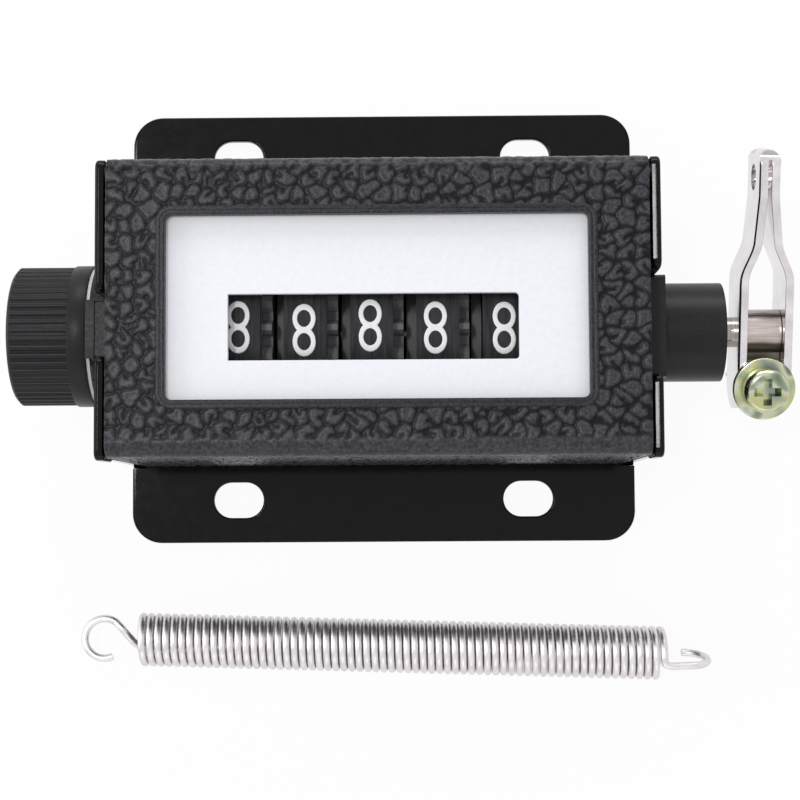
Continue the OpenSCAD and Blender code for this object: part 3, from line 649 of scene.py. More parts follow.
@dataclass(frozen=True)
class ZoneFinish(Finish):
    """A finish with another tone within a distance of a point, a line or a plane."""

    zone: str = "#808080"
    centre_mm: Point = (0.0, 0.0, 0.0)
    along: Point = (1.0, 1.0, 1.0)
    reach_mm: Pair = (1.0, 1.2)

    def tone(self, tree: NodeTree, noise: Node) -> Socket:
        """Change the tones to the zone's tone within its reach.

        Args:
            tree: tree of the material.
            noise: the fine pattern.

        Returns:
            The socket with the colour.
        """
        coords = add_node(tree, "ShaderNodeTexCoord")
        middle = tuple(c * MM for c in self.centre_mm)
        near, far = (reach * MM for reach in self.reach_mm)
        offset = add_node(tree, "ShaderNodeVectorMath", {0: coords.outputs["Object"], 1: middle},
                          operation="SUBTRACT")
        part = add_node(tree, "ShaderNodeVectorMath", {0: offset, 1: self.along},
                        operation="MULTIPLY")
        away = add_node(tree, "ShaderNodeVectorMath", {0: part}, operation="LENGTH")
        share = add_node(tree, "ShaderNodeMapRange", {
            "Value": away.outputs["Value"], "From Min": near, "From Max": far,
            "To Min": 1.0, "To Max": 0.0})
        mix = add_node(tree, "ShaderNodeMix",
                       {0: share, MIX_A: super().tone(tree, noise), MIX_B: linear(self.zone)},
                       data_type="RGBA")
        return mix.outputs[MIX_RESULT]


@dataclass(frozen=True)
class SheenFinish(Finish):
    """A plated finish whose colour drifts through tints between its two tones."""

    tints: tuple[str, ...] = ()

    def tone(self, tree: NodeTree, noise: Node) -> Socket:
        """Spread the tones and the tints between them over the pattern.

        Args:
            tree: tree of the material.
            noise: the pattern.

        Returns:
            The socket with the colour.
        """
        ramp = add_node(tree, "ShaderNodeValToRGB", {"Fac": noise})
        stops = ramp.color_ramp.elements
        low, high = NOISE_RANGE
        shades = (self.dark, *self.tints, self.light)
        for k, tint in enumerate(shades):
            at = low + (high - low) * k / (len(shades) - 1)
            stop = stops[k] if k < 2 else stops.new(at)
            stop.position = at
            stop.color = linear(tint)
        return ramp.outputs["Color"]


FINISHES: dict[Slot, Finish] = {
    # Stove enamel on sheet steel: deep black, glossy, with a faint orange peel.
    Slot.ENAMEL: Finish("black stove enamel", "#0a0a0b", "#101011", (0.06, 0.1), (1.6, 1.6, 1.6),
                        relief_mm=0.003, specular=0.14),
    # Laminated sheet embossed with a leather grain: satin on the raised parts, with painted shade
    # darkening the grooves.
    Slot.COVER: GrainFinish("grained black laminate", "#2e2e32", "#505056", (0.2, 0.34),
                            (0.4, 0.4, 0.4), relief_mm=0.035, specular=0.13),
    # Stove paint on sheet: even cool white, satin, with a very fine grit.
    Slot.DIAL: Finish("satin white paint", "#e9ebf1", "#eff1f6", (0.45, 0.6), (0.7, 0.7, 0.7),
                      relief_mm=0.002),
    # Zinc plate on steel screws: blue grey, softly blotched.
    Slot.SCREW: Finish("zinc plated steel", "#8d8f92", "#a9abad", (0.3, 0.5), (1.2, 1.2, 1.2),
                       relief_mm=0.01, metallic=1.0),
    # Cold rolled sheet with a thin plating: fine rolling lines along X.
    Slot.SHEET: Finish("plated sheet steel", "#a5a6a9", "#bcbdc0", (0.3, 0.45), (9.0, 0.35, 0.35),
                       relief_mm=0.006, metallic=1.0),
    # Moulded ABS with a spark eroded skin: black and satin, its fine grit drawn coarser to show.
    Slot.MOULDING: Finish("moulded black ABS", "#1a1a1c", "#242427", (0.3, 0.44), (0.3, 0.3, 0.3),
                          relief_mm=0.006, specular=0.19),
    # Hard drawn spring wire: bright, with drawing lines.
    Slot.WIRE: Finish("drawn spring wire", "#b4b5b8", "#cdced1", (0.2, 0.35), (2.0, 0.3, 0.3),
                      metallic=1.0),
    # Ground shafts: bright rings around the axis.
    Slot.SHAFT: Finish("ground steel", "#8f8985", "#b3ada9", (0.18, 0.32), (0.25, 6.0, 6.0),
                       relief_mm=0.004, metallic=1.0),
    # Hardened retaining rings: dark grey, oiled.
    Slot.RING: Finish("hardened spring steel", "#6f7073", "#8a8b8e", (0.3, 0.45), (0.8, 0.8, 0.8),
                      metallic=1.0),
    # Moulded number wheels: satin black band with fine turning marks; inside the band the gears are
    # painted greyer, painted light that lifts the deep shade between the wheels.
    Slot.WHEEL: ZoneFinish("moulded black wheel", "#272729", "#434347", (0.4, 0.55),
                           (0.4, 5.0, 5.0), relief_mm=0.006, specular=0.08, zone="#868689",
                           centre_mm=(0.0, -2.8, 18.0), along=(0.0, 1.0, 1.0),
                           reach_mm=(12.6, 13.2)),
    # Stamped brass: warm, with fine scratches.
    Slot.BRASS: Finish("stamped brass", "#b2934a", "#cdb06a", (0.25, 0.4), (0.5, 3.0, 3.0),
                       metallic=1.0),
    # Natural acetal: milky white, waxy, nearly even.
    Slot.PINION: Finish("natural acetal", "#d8d6d2", "#e2e0dd", (0.35, 0.5), (1.0, 1.0, 1.0)),
    # Bright nickel plate on a polished strip: near white, a little warm, softly clouded.
    Slot.NICKEL: Finish("bright nickel plate", "#cdc8ca", "#e4dfe2", (0.1, 0.2), (2.5, 2.5, 2.5),
                        relief_mm=0.002, metallic=1.0),
    # Yellow passivated zinc: pale straw that drifts to green, grey and silver.
    Slot.ZINC: SheenFinish("yellow passivated zinc", "#66715f", "#848d86", (0.18, 0.3),
                           (3.4, 3.4, 3.4), relief_mm=0.01, metallic=1.0, detail=1.0,
                           tints=("#8d9983", "#c6cbbb", "#bcbd8a", "#9fa796")),
}

# Screen printing ink on the wheels: cool white, flat, a little uneven.
FIGURE_INK = Finish("white printing ink", "#f8f9fd", "#ffffff", (0.45, 0.6), (0.5, 0.5, 0.5),
                    specular=0.3)

# Zinc plate on the loose spring: satin, so that what it reflects stays soft.
SPRING_PLATE = Finish("zinc plated wire", "#d2ced0", "#e6e2e4", (0.32, 0.4), (1.2, 1.2, 1.2),
                      relief_mm=0.002, metallic=1.0)

# Turned steel of the clamp hub: warm, brushed along X, with a band below the barrel darkened as
# painted shade of the recess there.
HUB_STEEL_PAINTED_SHADE = ZoneFinish("brushed hub steel", "#a0948f", "#d2c8c4", (0.26, 0.4), (7.0, 0.3, 0.3),
                       relief_mm=0.006, metallic=1.0, zone="#7d776e", centre_mm=(50.5, -5.9, 18.0),
                       along=(0.0, 1.0, 0.0), reach_mm=(1.25, 1.45))


@dataclass
class Workshop:
    """What every sub-assembly needs: the frame and the finished materials."""

    frame: dict[str, Any]
    materials: dict[Slot, Material]

    def node(self, name: str) -> Object:
        """Return a CAD node of the frame."""
        return self.frame["nodes"][name]

    def place(self, obj: Object, body: str, slot: Slot, nodes: Iterable[str] = (),
              material: Material | None = None) -> None:
        """Dress a finished piece and let it ride on its body.

        Args:
            obj: the piece, at the origin.
            body: name of the body.
            slot: slot of the record that it takes its finish from.
            nodes: CAD nodes that it stands for.
            material: material of its own, where it isn't the slot's.
        """
        dress(obj, material or self.materials[slot])
        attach(obj, body)
        if nodes:
            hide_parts(*nodes)
        LOG.info("%s rides on %s", obj.name, body)

    def soften(self, names: dict[str, float], body: str, slot: Slot) -> None:
        """Replace CAD nodes by copies with rounded edges.

        Args:
            names: width of the rounding in millimetres for each node.
            body: name of their body.
            slot: slot of the record that they take their finish from.
        """
        for name, width in names.items():
            self.place(softened(self.node(name), name + "_finished", width), body, slot, [name])

    def axis(self) -> Pair:
        """Return Y and Z of the wheel axis in millimetres, from the wheel shaft."""
        low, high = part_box("wheel_shaft")
        return (low.y + high.y) / 2 / MM, (low.z + high.z) / 2 / MM


# cover


@dataclass
class LeatherGrain:
    """Kidney shaped grain of the cover, as a height between 0 and 1 on the flat sheet."""

    spacing: float = 2.0
    jitter: float = 0.85
    groove: Pair = (0.02, 0.34)
    rounding: float = 0.15
    notched: float = 0.75
    notch_start: float = 0.3
    notch_half: float = 0.1
    waver: float = 0.16
    sways: tuple[Point, Point] = ((2.3, 1.7, 0.8), (2.6, 1.9, 0.7))
    neighbours: int = 2
    dimple: float = 0.25
    dimple_from: Pair = (0.4, 0.72)
    seed: int = 11
    ATTRIBUTE = "grain"

    def height(self, u: np.ndarray, v: np.ndarray) -> np.ndarray:
        """Work out the height of the grain.

        Args:
            u: places across the sheet, in millimetres.
            v: places along the sheet, in millimetres.

        Returns:
            Heights, 1 on the raised grain and 0 in the grooves.
        """
        bent = [here + self.waver * np.sin(rate * other + swing * np.sin(slow * here))
                for here, other, (rate, swing, slow) in zip((u, v), (v, u), self.sways)]
        places = np.stack(bent, -1)
        origin = places.reshape(-1, 2).min(0) - (self.neighbours + 1) * self.spacing
        cell = np.floor((places - origin) / self.spacing).astype(int)
        centres, slits = self.centres(*(cell.reshape(-1, 2).max(0) + self.neighbours + 2))
        steps = range(-self.neighbours, self.neighbours + 1)
        around = [(cell[..., 0] + i, cell[..., 1] + j) for i in steps for j in steps]
        near = np.full(u.shape, np.inf)
        home = np.zeros(u.shape + (2,))
        slit = np.zeros(u.shape + (2,))
        for spot in around:
            distance = np.sum((places - centres[spot] - origin) ** 2, -1)
            closer = distance < near
            near = np.where(closer, distance, near)
            home = np.where(closer[..., None], centres[spot] + origin, home)
            slit = np.where(closer[..., None], slits[spot], slit)
        total = np.zeros(u.shape)
        for spot in around:
            place = centres[spot] + origin
            apart = np.sqrt(np.sum((place - home) ** 2, -1))
            distance = (np.sum((places - place) ** 2, -1) - near) / (2 * apart + TINY)
            total += np.where(apart > TINY, np.exp(-distance / self.rounding), 0)
        inside = places - home
        along = np.sum(inside * slit, -1) - self.notch_start
        across = inside[..., 0] * slit[..., 1] - inside[..., 1] * slit[..., 0]
        cut = np.where(along > 0, abs(across), np.hypot(along, across))
        notch = np.exp((self.notch_half - cut) / self.rounding)
        total += np.where(np.sum(slit ** 2, -1) > 0, notch, 0)
        edge = -self.rounding * np.log(total)
        return self.rise(edge, self.groove) * (1 - self.dimple * self.rise(edge, self.dimple_from))

    def rise(self, value: np.ndarray, span: Pair) -> np.ndarray:
        """Rise from 0 to 1 over a span, with both ends softened."""
        share = np.clip((value - span[0]) / (span[1] - span[0]), 0, 1)
        return share * share * (3 - 2 * share)

    def centres(self, columns: int, rows: int) -> tuple[np.ndarray, np.ndarray]:
        """Scatter the centres of the grain and notch most of them.

        Args:
            columns: number of centres across.
            rows: number of centres along.

        Returns:
            Places in millimetres, and the direction of each notch, or zeros for none.
        """
        dice = random.Random(self.seed)
        places = np.zeros((columns, rows, 2))
        slits = np.zeros((columns, rows, 2))
        for i in range(columns):
            for j in range(rows):
                shift = [0.5 + self.jitter * (dice.random() - 0.5) for _ in range(2)]
                places[i, j] = ((i + shift[0]) * self.spacing, (j + shift[1]) * self.spacing)
                turn = 2 * math.pi * dice.random()
                if dice.random() < self.notched:
                    slits[i, j] = (math.cos(turn), math.sin(turn))
        return places, slits


@dataclass
class Cover:
    """Front cover: a grained sheet bent to a U, with a smooth rim round the dial opening."""

    shop: Workshop
    sheet: float = 1.2
    bend: float = 2.0
    bend_steps: int = 8
    rim_height: float = 0.12
    rim_section: tuple[Pair, ...] = (
        (1.16, -0.2), (1.14, 0.02), (1.06, 0.102), (0.96, 0.12), (0.72, 0.12), (0.64, 0.102),
        (0.6, 0.048), (0.5, 0.048), (0.46, 0.084), (0.38, 0.096), (0.12, 0.096), (0.04, 0.06),
        (0.0, -0.1), (0.0, -1.2), (1.0, -1.18))
    rim_tone: float = 0.55
    under_rim: float = 0.44
    opening: Pair = (52.5, 23.0)
    opening_centre: Pair = (-0.1, -1.05)
    opening_corner: float = 0.8
    corner_steps: int = 10
    grain_depth: float = 0.17
    wall_grain: float = 1.0
    bend_grain: float = 0.25
    lower_fade: float = 0.8
    upper_fade: float = 1.5
    grid: Point = (0.22, 0.2, 0.3)
    end_edge: float = 0.1
    foot: Pair = (7.0, 6.4)
    foot_x: float = 28.4
    foot_edge: float = 0.15

    def __post_init__(self) -> None:
        """Take the outer sizes from the frame."""
        low, high = (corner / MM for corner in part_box("front_cover"))
        self.half = high.x
        self.y0, self.y1 = low.y, high.y
        self.z0 = low.z
        self.front = high.z - self.rim_height

    def bend_row(self, way: float, y: float, turn: float, grain: float) -> Row:
        """Work out a row of a bend.

        Args:
            way: way along the sheet.
            y: Y of the line that the sheet is bent about.
            turn: angle about that line.
            grain: share of grain.

        Returns:
            The row.
        """
        out, up = math.cos(math.radians(turn)), math.sin(math.radians(turn))
        z = self.front - self.bend
        return way, y + self.bend * out, z + self.bend * up, out, up, grain

    def rows(self) -> list[Row]:
        """Follow the bent sheet from the lower to the upper edge.

        Returns:
            For each row the way along the sheet, Y, Z, the normal's Y and Z, and the share of
            grain.
        """
        wall = self.front - self.bend - self.z0
        bow = math.pi / 2 * self.bend
        low, high = self.y0 + self.bend, self.y1 - self.bend
        flat = self.y1 - self.y0 - 2 * self.bend
        upright = self.lines(0.0, wall, [], self.grid[2])[:-1]
        found = [(s, self.y0, self.z0 + s, -1.0, 0.0, self.wall_grain) for s in upright]
        for k in range(self.bend_steps):
            done = k / self.bend_steps
            found.append(self.bend_row(wall + bow * done, low, 180 - 90 * done, self.bend_grain))
        for s in self.lines(0.0, flat, [y - low for y in self.hole()[2:]], self.grid[1]):
            grain = min(1.0, self.bend_grain + s / self.lower_fade)
            found.append((wall + bow + s, low + s, self.front, 0.0, 1.0, grain))
        for k in range(1, self.bend_steps + 1):
            done = k / self.bend_steps
            grain = 1 - (1 - self.bend_grain) * done ** self.upper_fade
            way = wall + bow + flat + bow * done
            found.append(self.bend_row(way, high, 90 - 90 * done, grain))
        end = 2 * wall + 2 * bow + flat
        found += [(end - s, self.y1, self.z0 + s, 1.0, 0.0, self.wall_grain)
                  for s in reversed(upright)]
        return found

    def lines(self, start: float, end: float, fixed: Sequence[float], step: float) -> list[float]:
        """Space grid lines, with some at given places.

        Args:
            start: first line.
            end: last line.
            fixed: places that need a line.
            step: distance from line to line.

        Returns:
            The lines in order.
        """
        stops = [start, *sorted(fixed), end]
        found: list[float] = []
        for low, high in zip(stops, stops[1:]):
            count = max(1, round((high - low) / step))
            found += [low + (high - low) * k / count for k in range(count)]
        return found + [end]

    def hole(self) -> tuple[float, float, float, float]:
        """Work out the hole in the grained sheet, whose edge the rim hides.

        Returns:
            Left, right, lower and upper side.
        """
        wide, high = (size / 2 + self.under_rim for size in self.opening)
        x, y = self.opening_centre
        return x - wide, x + wide, y - high, y + high

    def skin(self) -> Object:
        """Build the grained sheet as one closed shell.

        Returns:
            The sheet.
        """
        x0, x1, y0, y1 = self.hole()
        ends = self.half - self.end_edge
        xs = np.array(self.lines(-self.half, self.half, [x0, x1, -ends, ends], self.grid[0]))
        rows = np.array(self.rows())
        across, along = np.meshgrid(xs, rows[:, 0], indexing="ij")
        relief = 1 - (1 - LeatherGrain().height(across, along)) * rows[:, 5]
        edge = np.clip((self.half - np.abs(across)) / self.end_edge, 0, 1)
        sunk = self.grain_depth * (1 - relief) + self.end_edge * (1 - edge)
        y = rows[:, 1] - rows[:, 3] * sunk
        z = rows[:, 2] - rows[:, 4] * sunk
        outer = np.stack([across, y, z], -1).reshape(-1, 3)
        n, m = len(xs), len(rows)
        left, right = (int(np.argmin(abs(xs - x))) for x in (x0, x1))
        on_face = rows[:, 4] == 1.0
        bottom, top = (int(np.argmin(np.where(on_face, abs(rows[:, 1] - edge), np.inf)))
                       for edge in (y0, y1))
        solid = np.ones((n - 1, m - 1), bool)
        solid[left:right, bottom:top] = False
        faces = [(i * m + j, i * m + m + j, i * m + m + j + 1, i * m + j + 1)
                 for i, j in np.argwhere(solid).tolist()]
        columns = [0, left, right, n - 1]
        inner = np.stack([np.repeat(xs[columns], m),
                          np.tile(rows[:, 1] - rows[:, 3] * self.sheet, len(columns)),
                          np.tile(rows[:, 2] - rows[:, 4] * self.sheet, len(columns))], -1)
        base = len(outer)
        for c, i in enumerate(columns[:-1]):
            here, there = base + c * m, base + c * m + m
            faces += [(here + j, here + j + 1, there + j + 1, there + j)
                      for j in range(m - 1) if solid[i, j]]
        ends_x = ((0, range(m - 1), 1), (3, range(m - 1), -1),
                  (1, range(bottom, top), -1), (2, range(bottom, top), 1))
        for c, span, turn in ends_x:
            here, there = columns[c] * m, base + c * m
            faces += [(here + j, here + j + 1, there + j + 1, there + j)[::turn] for j in span]
        ends_y = ((0, (3, 2, 1, 0), -1), (m - 1, (3, 2, 1, 0), 1),
                  (bottom, (2, 1), 1), (top, (2, 1), -1))
        for j, corners, turn in ends_y:
            outside = range(columns[corners[-1]], columns[corners[0]] + 1)
            way = [i * m + j for i in outside] + [base + c * m + j for c in corners]
            faces.append(tuple(way[::turn]))
        obj = new_object("cover_skin", np.concatenate([outer, inner]).tolist(), faces)
        self.store_grain(obj, np.concatenate([relief.reshape(-1), np.ones(len(inner))]))
        smooth(obj, angle=50)
        return obj

    def store_grain(self, obj: Object, values: np.ndarray) -> None:
        """Store the height of the grain at each vertex for the finish."""
        store = obj.data.attributes.new(LeatherGrain.ATTRIBUTE, "FLOAT", "POINT")
        store.data.foreach_set("value", values.astype(np.float32))

    def loop(self, offset: float, z: float) -> list[Point]:
        """Follow the opening at a distance.

        Args:
            offset: distance outside the opening.
            z: height above the front face.

        Returns:
            Points of the rounded rectangle.
        """
        wide, high = (size / 2 - self.opening_corner for size in self.opening)
        x, y = self.opening_centre
        edge = rounded_loop((x - wide, y - high), (x + wide, y + high),
                            self.opening_corner + offset, self.corner_steps)
        return [(x, y, self.front + z) for x, y in edge]

    def rim_ring(self) -> Object:
        """Build the rim, two rounded bands with a groove between them.

        Returns:
            The rim.
        """
        points = [p for offset, z in self.rim_section for p in self.loop(offset, z)]
        rings = len(self.rim_section)
        obj = new_object("cover_rim", points, tube(rings, len(points) // rings, closed=True))
        smooth(obj, angle=40)
        self.store_grain(obj, np.full(len(points), self.rim_tone))
        return obj

    def feet(self) -> Object:
        """Build the four screw feet inside the walls.

        Returns:
            The feet, as one object.
        """
        work = bmesh.new()
        size = Matrix.Diagonal((self.foot[0] * MM, self.foot[1] * MM, self.sheet * MM, 1))
        inset = self.sheet + self.foot[1] / 2
        for x in (-self.foot_x, self.foot_x):
            for y in (self.y0 + inset, self.y1 - inset):
                spot = Matrix.Translation(Vector((x, y, self.z0 + self.sheet / 2)) * MM)
                bmesh.ops.create_cube(work, size=1.0, matrix=spot @ size)
        bmesh.ops.bevel(work, geom=work.edges[:], offset=self.foot_edge * MM, segments=2,
                        affect="EDGES")
        mesh = bpy.data.meshes.new("cover_feet")
        work.to_mesh(mesh)
        work.free()
        obj = link_mesh("cover_feet", mesh)
        smooth(obj)
        return obj

    def build(self) -> None:
        """Build the cover and let it ride on the housing."""
        self.shop.place(self.skin(), Body.HOUSING.value, Slot.COVER, ["front_cover"])
        self.shop.place(self.rim_ring(), Body.HOUSING.value, Slot.COVER)
        self.shop.place(self.feet(), Body.HOUSING.value, Slot.ENAMEL)


@dataclass
class Housing:
    """Base plate with its ears, dial, bearings and screws."""

    shop: Workshop
    sheet_edge: float = 0.5
    sheet_segments: int = 4
    plate_share: float = 0.5
    side_share: float = 0.3
    inner_share: float = 0.2
    ear_foot: float = 6.0
    ear_front: float = 32.0
    ear_inside: float = 34.5
    slope_end: float = 35.02
    slope_drop: float = 0.12
    set_back: float = 0.4
    set_back_z: Point = (1.4, 25.0, 27.0)
    relief: Pair = (0.02, 0.35)
    relief_x: float = 32.0
    relief_reach: float = 1.0
    ear_ends: Pair = (-19.9, 18.1)
    tolerance: float = 0.1
    dial_edge: float = 0.12
    plug_edge: float = 0.5
    lip_x: Pair = (-37.75, -36.6)
    lip_z: Pair = (27.18, 27.5)
    lip_half: float = 3.8
    lip_corner: float = 0.12
    lip_steps: int = 6
    cap_edge: float = 0.3
    screw_edge: float = 0.1

    def edge_share(self, place: Vector, _: Vector) -> float:
        """Tell how much of the sheet's rounding an edge gets.

        Args:
            place: middle of the edge in millimetres.
            _: the way that it faces, which doesn't matter here.

        Returns:
            All of it at the front of the ears, less elsewhere and none in the cuts beside them.
        """
        if place.z > self.ear_front:
            return self.inner_share if abs(place.x) < self.ear_inside else 1.0
        if place.z > self.ear_foot:
            return self.side_share
        beside = min(abs(place.y - end) for end in self.ear_ends)
        cut = abs(place.x) > self.relief_x and beside < self.relief_reach
        return 0.0 if cut else self.plate_share

    def form_ears(self, work: bmesh.types.BMesh) -> None:
        """Form the ears as the press leaves them.

        The inner half of their front slopes, their lower ends are set back and the cuts beside
        them are shut.

        Args:
            work: mesh of the base plate.
        """
        cuts = [((side * self.slope_end, 0, 0), (1, 0, 0)) for side in (-1, 1)]
        cuts += [((0, 0, z), (0, 0, 1)) for z in self.set_back_z]
        for spot, normal in cuts:
            bmesh.ops.bisect_plane(work, geom=work.verts[:] + work.edges[:] + work.faces[:],
                                   plane_co=Vector(spot) * MM, plane_no=normal)
        low, high = (self.set_back_z[0] - self.tolerance, self.set_back_z[1] + self.tolerance)
        shut, wide = self.relief
        for vert in work.verts:
            x, y, z = vert.co / MM
            if z > self.ear_front and abs(x) < self.ear_inside:
                vert.co.z -= self.slope_drop * MM
            if low < z < high and y < self.ear_ends[0] + shut:
                vert.co.y += self.set_back * MM
            for end, way in zip(self.ear_ends, (-1, 1)):
                if abs(x) > self.relief_x - self.relief_reach and shut < (y - end) * way < wide:
                    vert.co.y = (end + way * shut) * MM

    def plug_lip(self) -> Object:
        """Build the lip of the left plug that reaches over the disc of the knob.

        Returns:
            The lip.
        """
        middle, _ = self.shop.axis()
        inset = self.lip_corner
        half = self.lip_half - inset
        ring = rounded_loop((middle - half, self.lip_z[0] + inset),
                            (middle + half, self.lip_z[1] - inset), inset, self.lip_steps)
        points = [(x, y, z) for x in self.lip_x for y, z in ring]
        lip = new_object("plug_lip", points, tube(2, len(ring)))
        smooth(lip)
        return lip

    def build(self) -> None:
        """Round the edges of the pieces as stamping, paint and moulds leave them."""
        body = Body.HOUSING.value
        plate = softened(self.shop.node("base_plate"), "base_plate_finished", self.sheet_edge,
                         self.sheet_segments, clamp=False, share=self.edge_share,
                         form=self.form_ears)
        self.shop.place(plate, body, Slot.ENAMEL, ["base_plate"])
        self.shop.soften({"dial_plate": self.dial_edge}, body, Slot.DIAL)
        self.shop.soften({"bearing_left": self.plug_edge, "bearing_right": self.plug_edge,
                          "bush_cap": self.cap_edge}, body, Slot.MOULDING)
        self.shop.soften({f"cover_screw_{k}": self.screw_edge for k in "abcd"}, body, Slot.SCREW)
        self.shop.place(self.plug_lip(), body, Slot.MOULDING)


# number wheels


@dataclass
class NumberWheels:
    """Ten white figures on the band of each wheel."""

    shop: Workshop
    width: float = 2.314
    height: float = 5.9
    pen: Pair = (0.6, 0.8)
    ink: float = 0.03
    shown: int = 8
    names: tuple[str, ...] = ("units", "tens", "hundreds", "thousands", "tenthousands")
    start: tuple[float, ...] = (-2.8, -2.45, -1.05, -3.3, -1.55)
    shift: tuple[float, ...] = (-0.03, -0.32, -0.16, -0.13, -0.08)

    def strokes(self, figure: int) -> list[list[Pair]]:
        """Draw a figure with a pen.

        Args:
            figure: the figure, 0 to 9.

        Returns:
            Lines about the middle of the figure, in millimetres. A line that ends where it
            starts is closed.
        """
        w, h = self.width / 2, self.height / 2
        if figure == 0:
            top = arc(0, h / 2, w, h / 2, 0, 180, 20)
            low = arc(0, -h / 2, w, h / 2, 180, 360, 20)
            return [top + low + top[:1]]
        if figure == 1:
            return [[(-0.75 * w, 0.68 * h), (0, h), (0, -h)]]
        if figure == 2:
            bow = arc(0, h / 2, w, h / 2, 165, -38, 20)
            return [bow + [(-w, -h), (w, -h)]]
        if figure == 3:
            return [arc(0, h / 2, w, h / 2, 155, -90, 20) + arc(0, -h / 2, w, h / 2, 90, -155, 20)]
        if figure == 4:
            return [[(0.5 * w, -h), (0.5 * w, h), (-w, -0.3 * h), (w, -0.3 * h)]]
        if figure == 5:
            return [[(0.85 * w, h), (-0.75 * w, h), (-0.9 * w, 0.12 * h)]
                    + arc(0, -0.4 * h, w, 0.6 * h, 140, -150, 22)]
        if figure == 6:
            ring = arc(0, -0.45 * h, w, 0.55 * h, 180, -180, 28)
            return [ring[:-1] + ring[:1], arc(0.35 * w, -0.45 * h, 1.35 * w, 1.45 * h, 180, 75, 18)]
        if figure == 7:
            return [[(-w, h), (w, h), (-0.3 * w, -h)]]
        if figure == 8:
            rings = [arc(0, side * h / 2, w, h / 2, 0, 360, 32) for side in (1, -1)]
            return [ring[:-1] + ring[:1] for ring in rings]
        return [[(-x, -y) for x, y in line] for line in self.strokes(6)]

    def flat_strokes(self, pitch: float) -> Object:
        """Lay the figures one above the other on the unrolled band.

        Args:
            pitch: distance from figure to figure.

        Returns:
            An object of edges only, widened so that a round pen draws it.
        """
        points: list[Point] = []
        edges: list[tuple[int, int]] = []
        stretch = self.pen[1] / self.pen[0]
        for figure in range(10):
            up = (figure - self.shown) * pitch
            for line in self.strokes(figure):
                closed = line[0] == line[-1]
                kept = line[:-1] if closed else line
                first = len(points)
                points += [(x * stretch, y + up, 0.0) for x, y in kept]
                edges += [(first + k, first + k + 1) for k in range(len(kept) - 1)]
                if closed:
                    edges.append((len(points) - 1, first))
        return new_object("figure_strokes", points, [], edges)

    def build(self) -> None:
        """Print the figures on each wheel and let them ride with it."""
        tree = figure_tree()
        ink = FIGURE_INK.make()
        y, z = self.shop.axis()
        for name, start, shift in zip(self.names, self.start, self.shift):
            low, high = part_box("wheel_" + name)
            radius = (high.z - low.z) / 2
            pitch = 2 * math.pi * radius / MM / 10
            middle = (low.x + high.x) / 2 / MM
            figures = tree.grow(self.flat_strokes(pitch), "figures_" + name, {
                "Stroke": self.pen[1] * MM, "Aspect": self.pen[0] / self.pen[1],
                "Ink": self.ink * MM, "Radius": radius, "Turn": math.radians(start),
                "Axis": ((middle + shift) * MM, y * MM, z * MM), "Finish": ink})
            self.shop.place(figures, name, Slot.WHEEL, material=ink)


# reset knob


@dataclass
class ResetKnob:
    """Knurled reset knob with a smooth collar and a dished end."""

    shop: Workshop
    knurls: int = 50
    knurl_radius: float = 9.2
    root_radius: float = 8.95
    ridge: float = 0.5
    collar_radius: float = 9.4
    collar: float = 2.5
    hub_radius: float = 3.85
    hub: float = 0.5
    edge: float = 0.7
    edge_steps: int = 6
    dish: tuple[Pair, ...] = ((0.6, -0.75), (0.42, -0.62), (0.08, -0.5))
    collar_edge: Pair = (0.2, 0.06)
    ridge_start: float = 0.56
    steps: int = 100

    def profile(self, start: float, collar: float, back: float, end: float) -> list[Pair]:
        """Draw half of the section of the knob.

        Args:
            start: X of the free end.
            collar: X at which the collar starts.
            back: X of the back of the collar.
            end: X of the end of the hub.

        Returns:
            Places along X and radii, from pole to pole.
        """
        rim = self.root_radius - self.edge
        wide, near = self.collar_edge
        top = self.collar_radius
        return [(start + self.dish[0][0], 0), *((start + x, rim + r) for x, r in self.dish),
                *arc(start + self.edge, rim, self.edge, self.edge, 180, 90, self.edge_steps),
                (collar, self.root_radius), (collar, top - wide), (collar + near, top - near),
                (collar + wide, top), (back - wide, top), (back - near, top - near),
                (back, top - wide), (back, self.hub_radius), (end, self.hub_radius), (end, 0)]

    def build(self) -> None:
        """Revolve the knob, set its knurls and let it ride on the reset shaft."""
        low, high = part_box("reset_knob")
        start, end = low.x / MM, high.x / MM
        back = end - self.hub
        collar = back - self.collar
        y, z = self.shop.axis()
        drum = revolved("knob_drum", self.profile(start, collar, back, end), (y, z), self.steps)
        knob = knurl_tree().grow(drum, "knob_knurled", {
            "Count": self.knurls, "Circle": (self.knurl_radius - self.ridge) * MM,
            "Ridge": self.ridge * MM, "From": (start + self.ridge_start) * MM, "To": collar * MM,
            "Axis": (0.0, y * MM, z * MM), "Finish": self.shop.materials[Slot.MOULDING]})
        smooth(knob, angle=40)
        self.shop.place(knob, Body.RESET.value, Slot.MOULDING, ["reset_knob"])


# pull arm


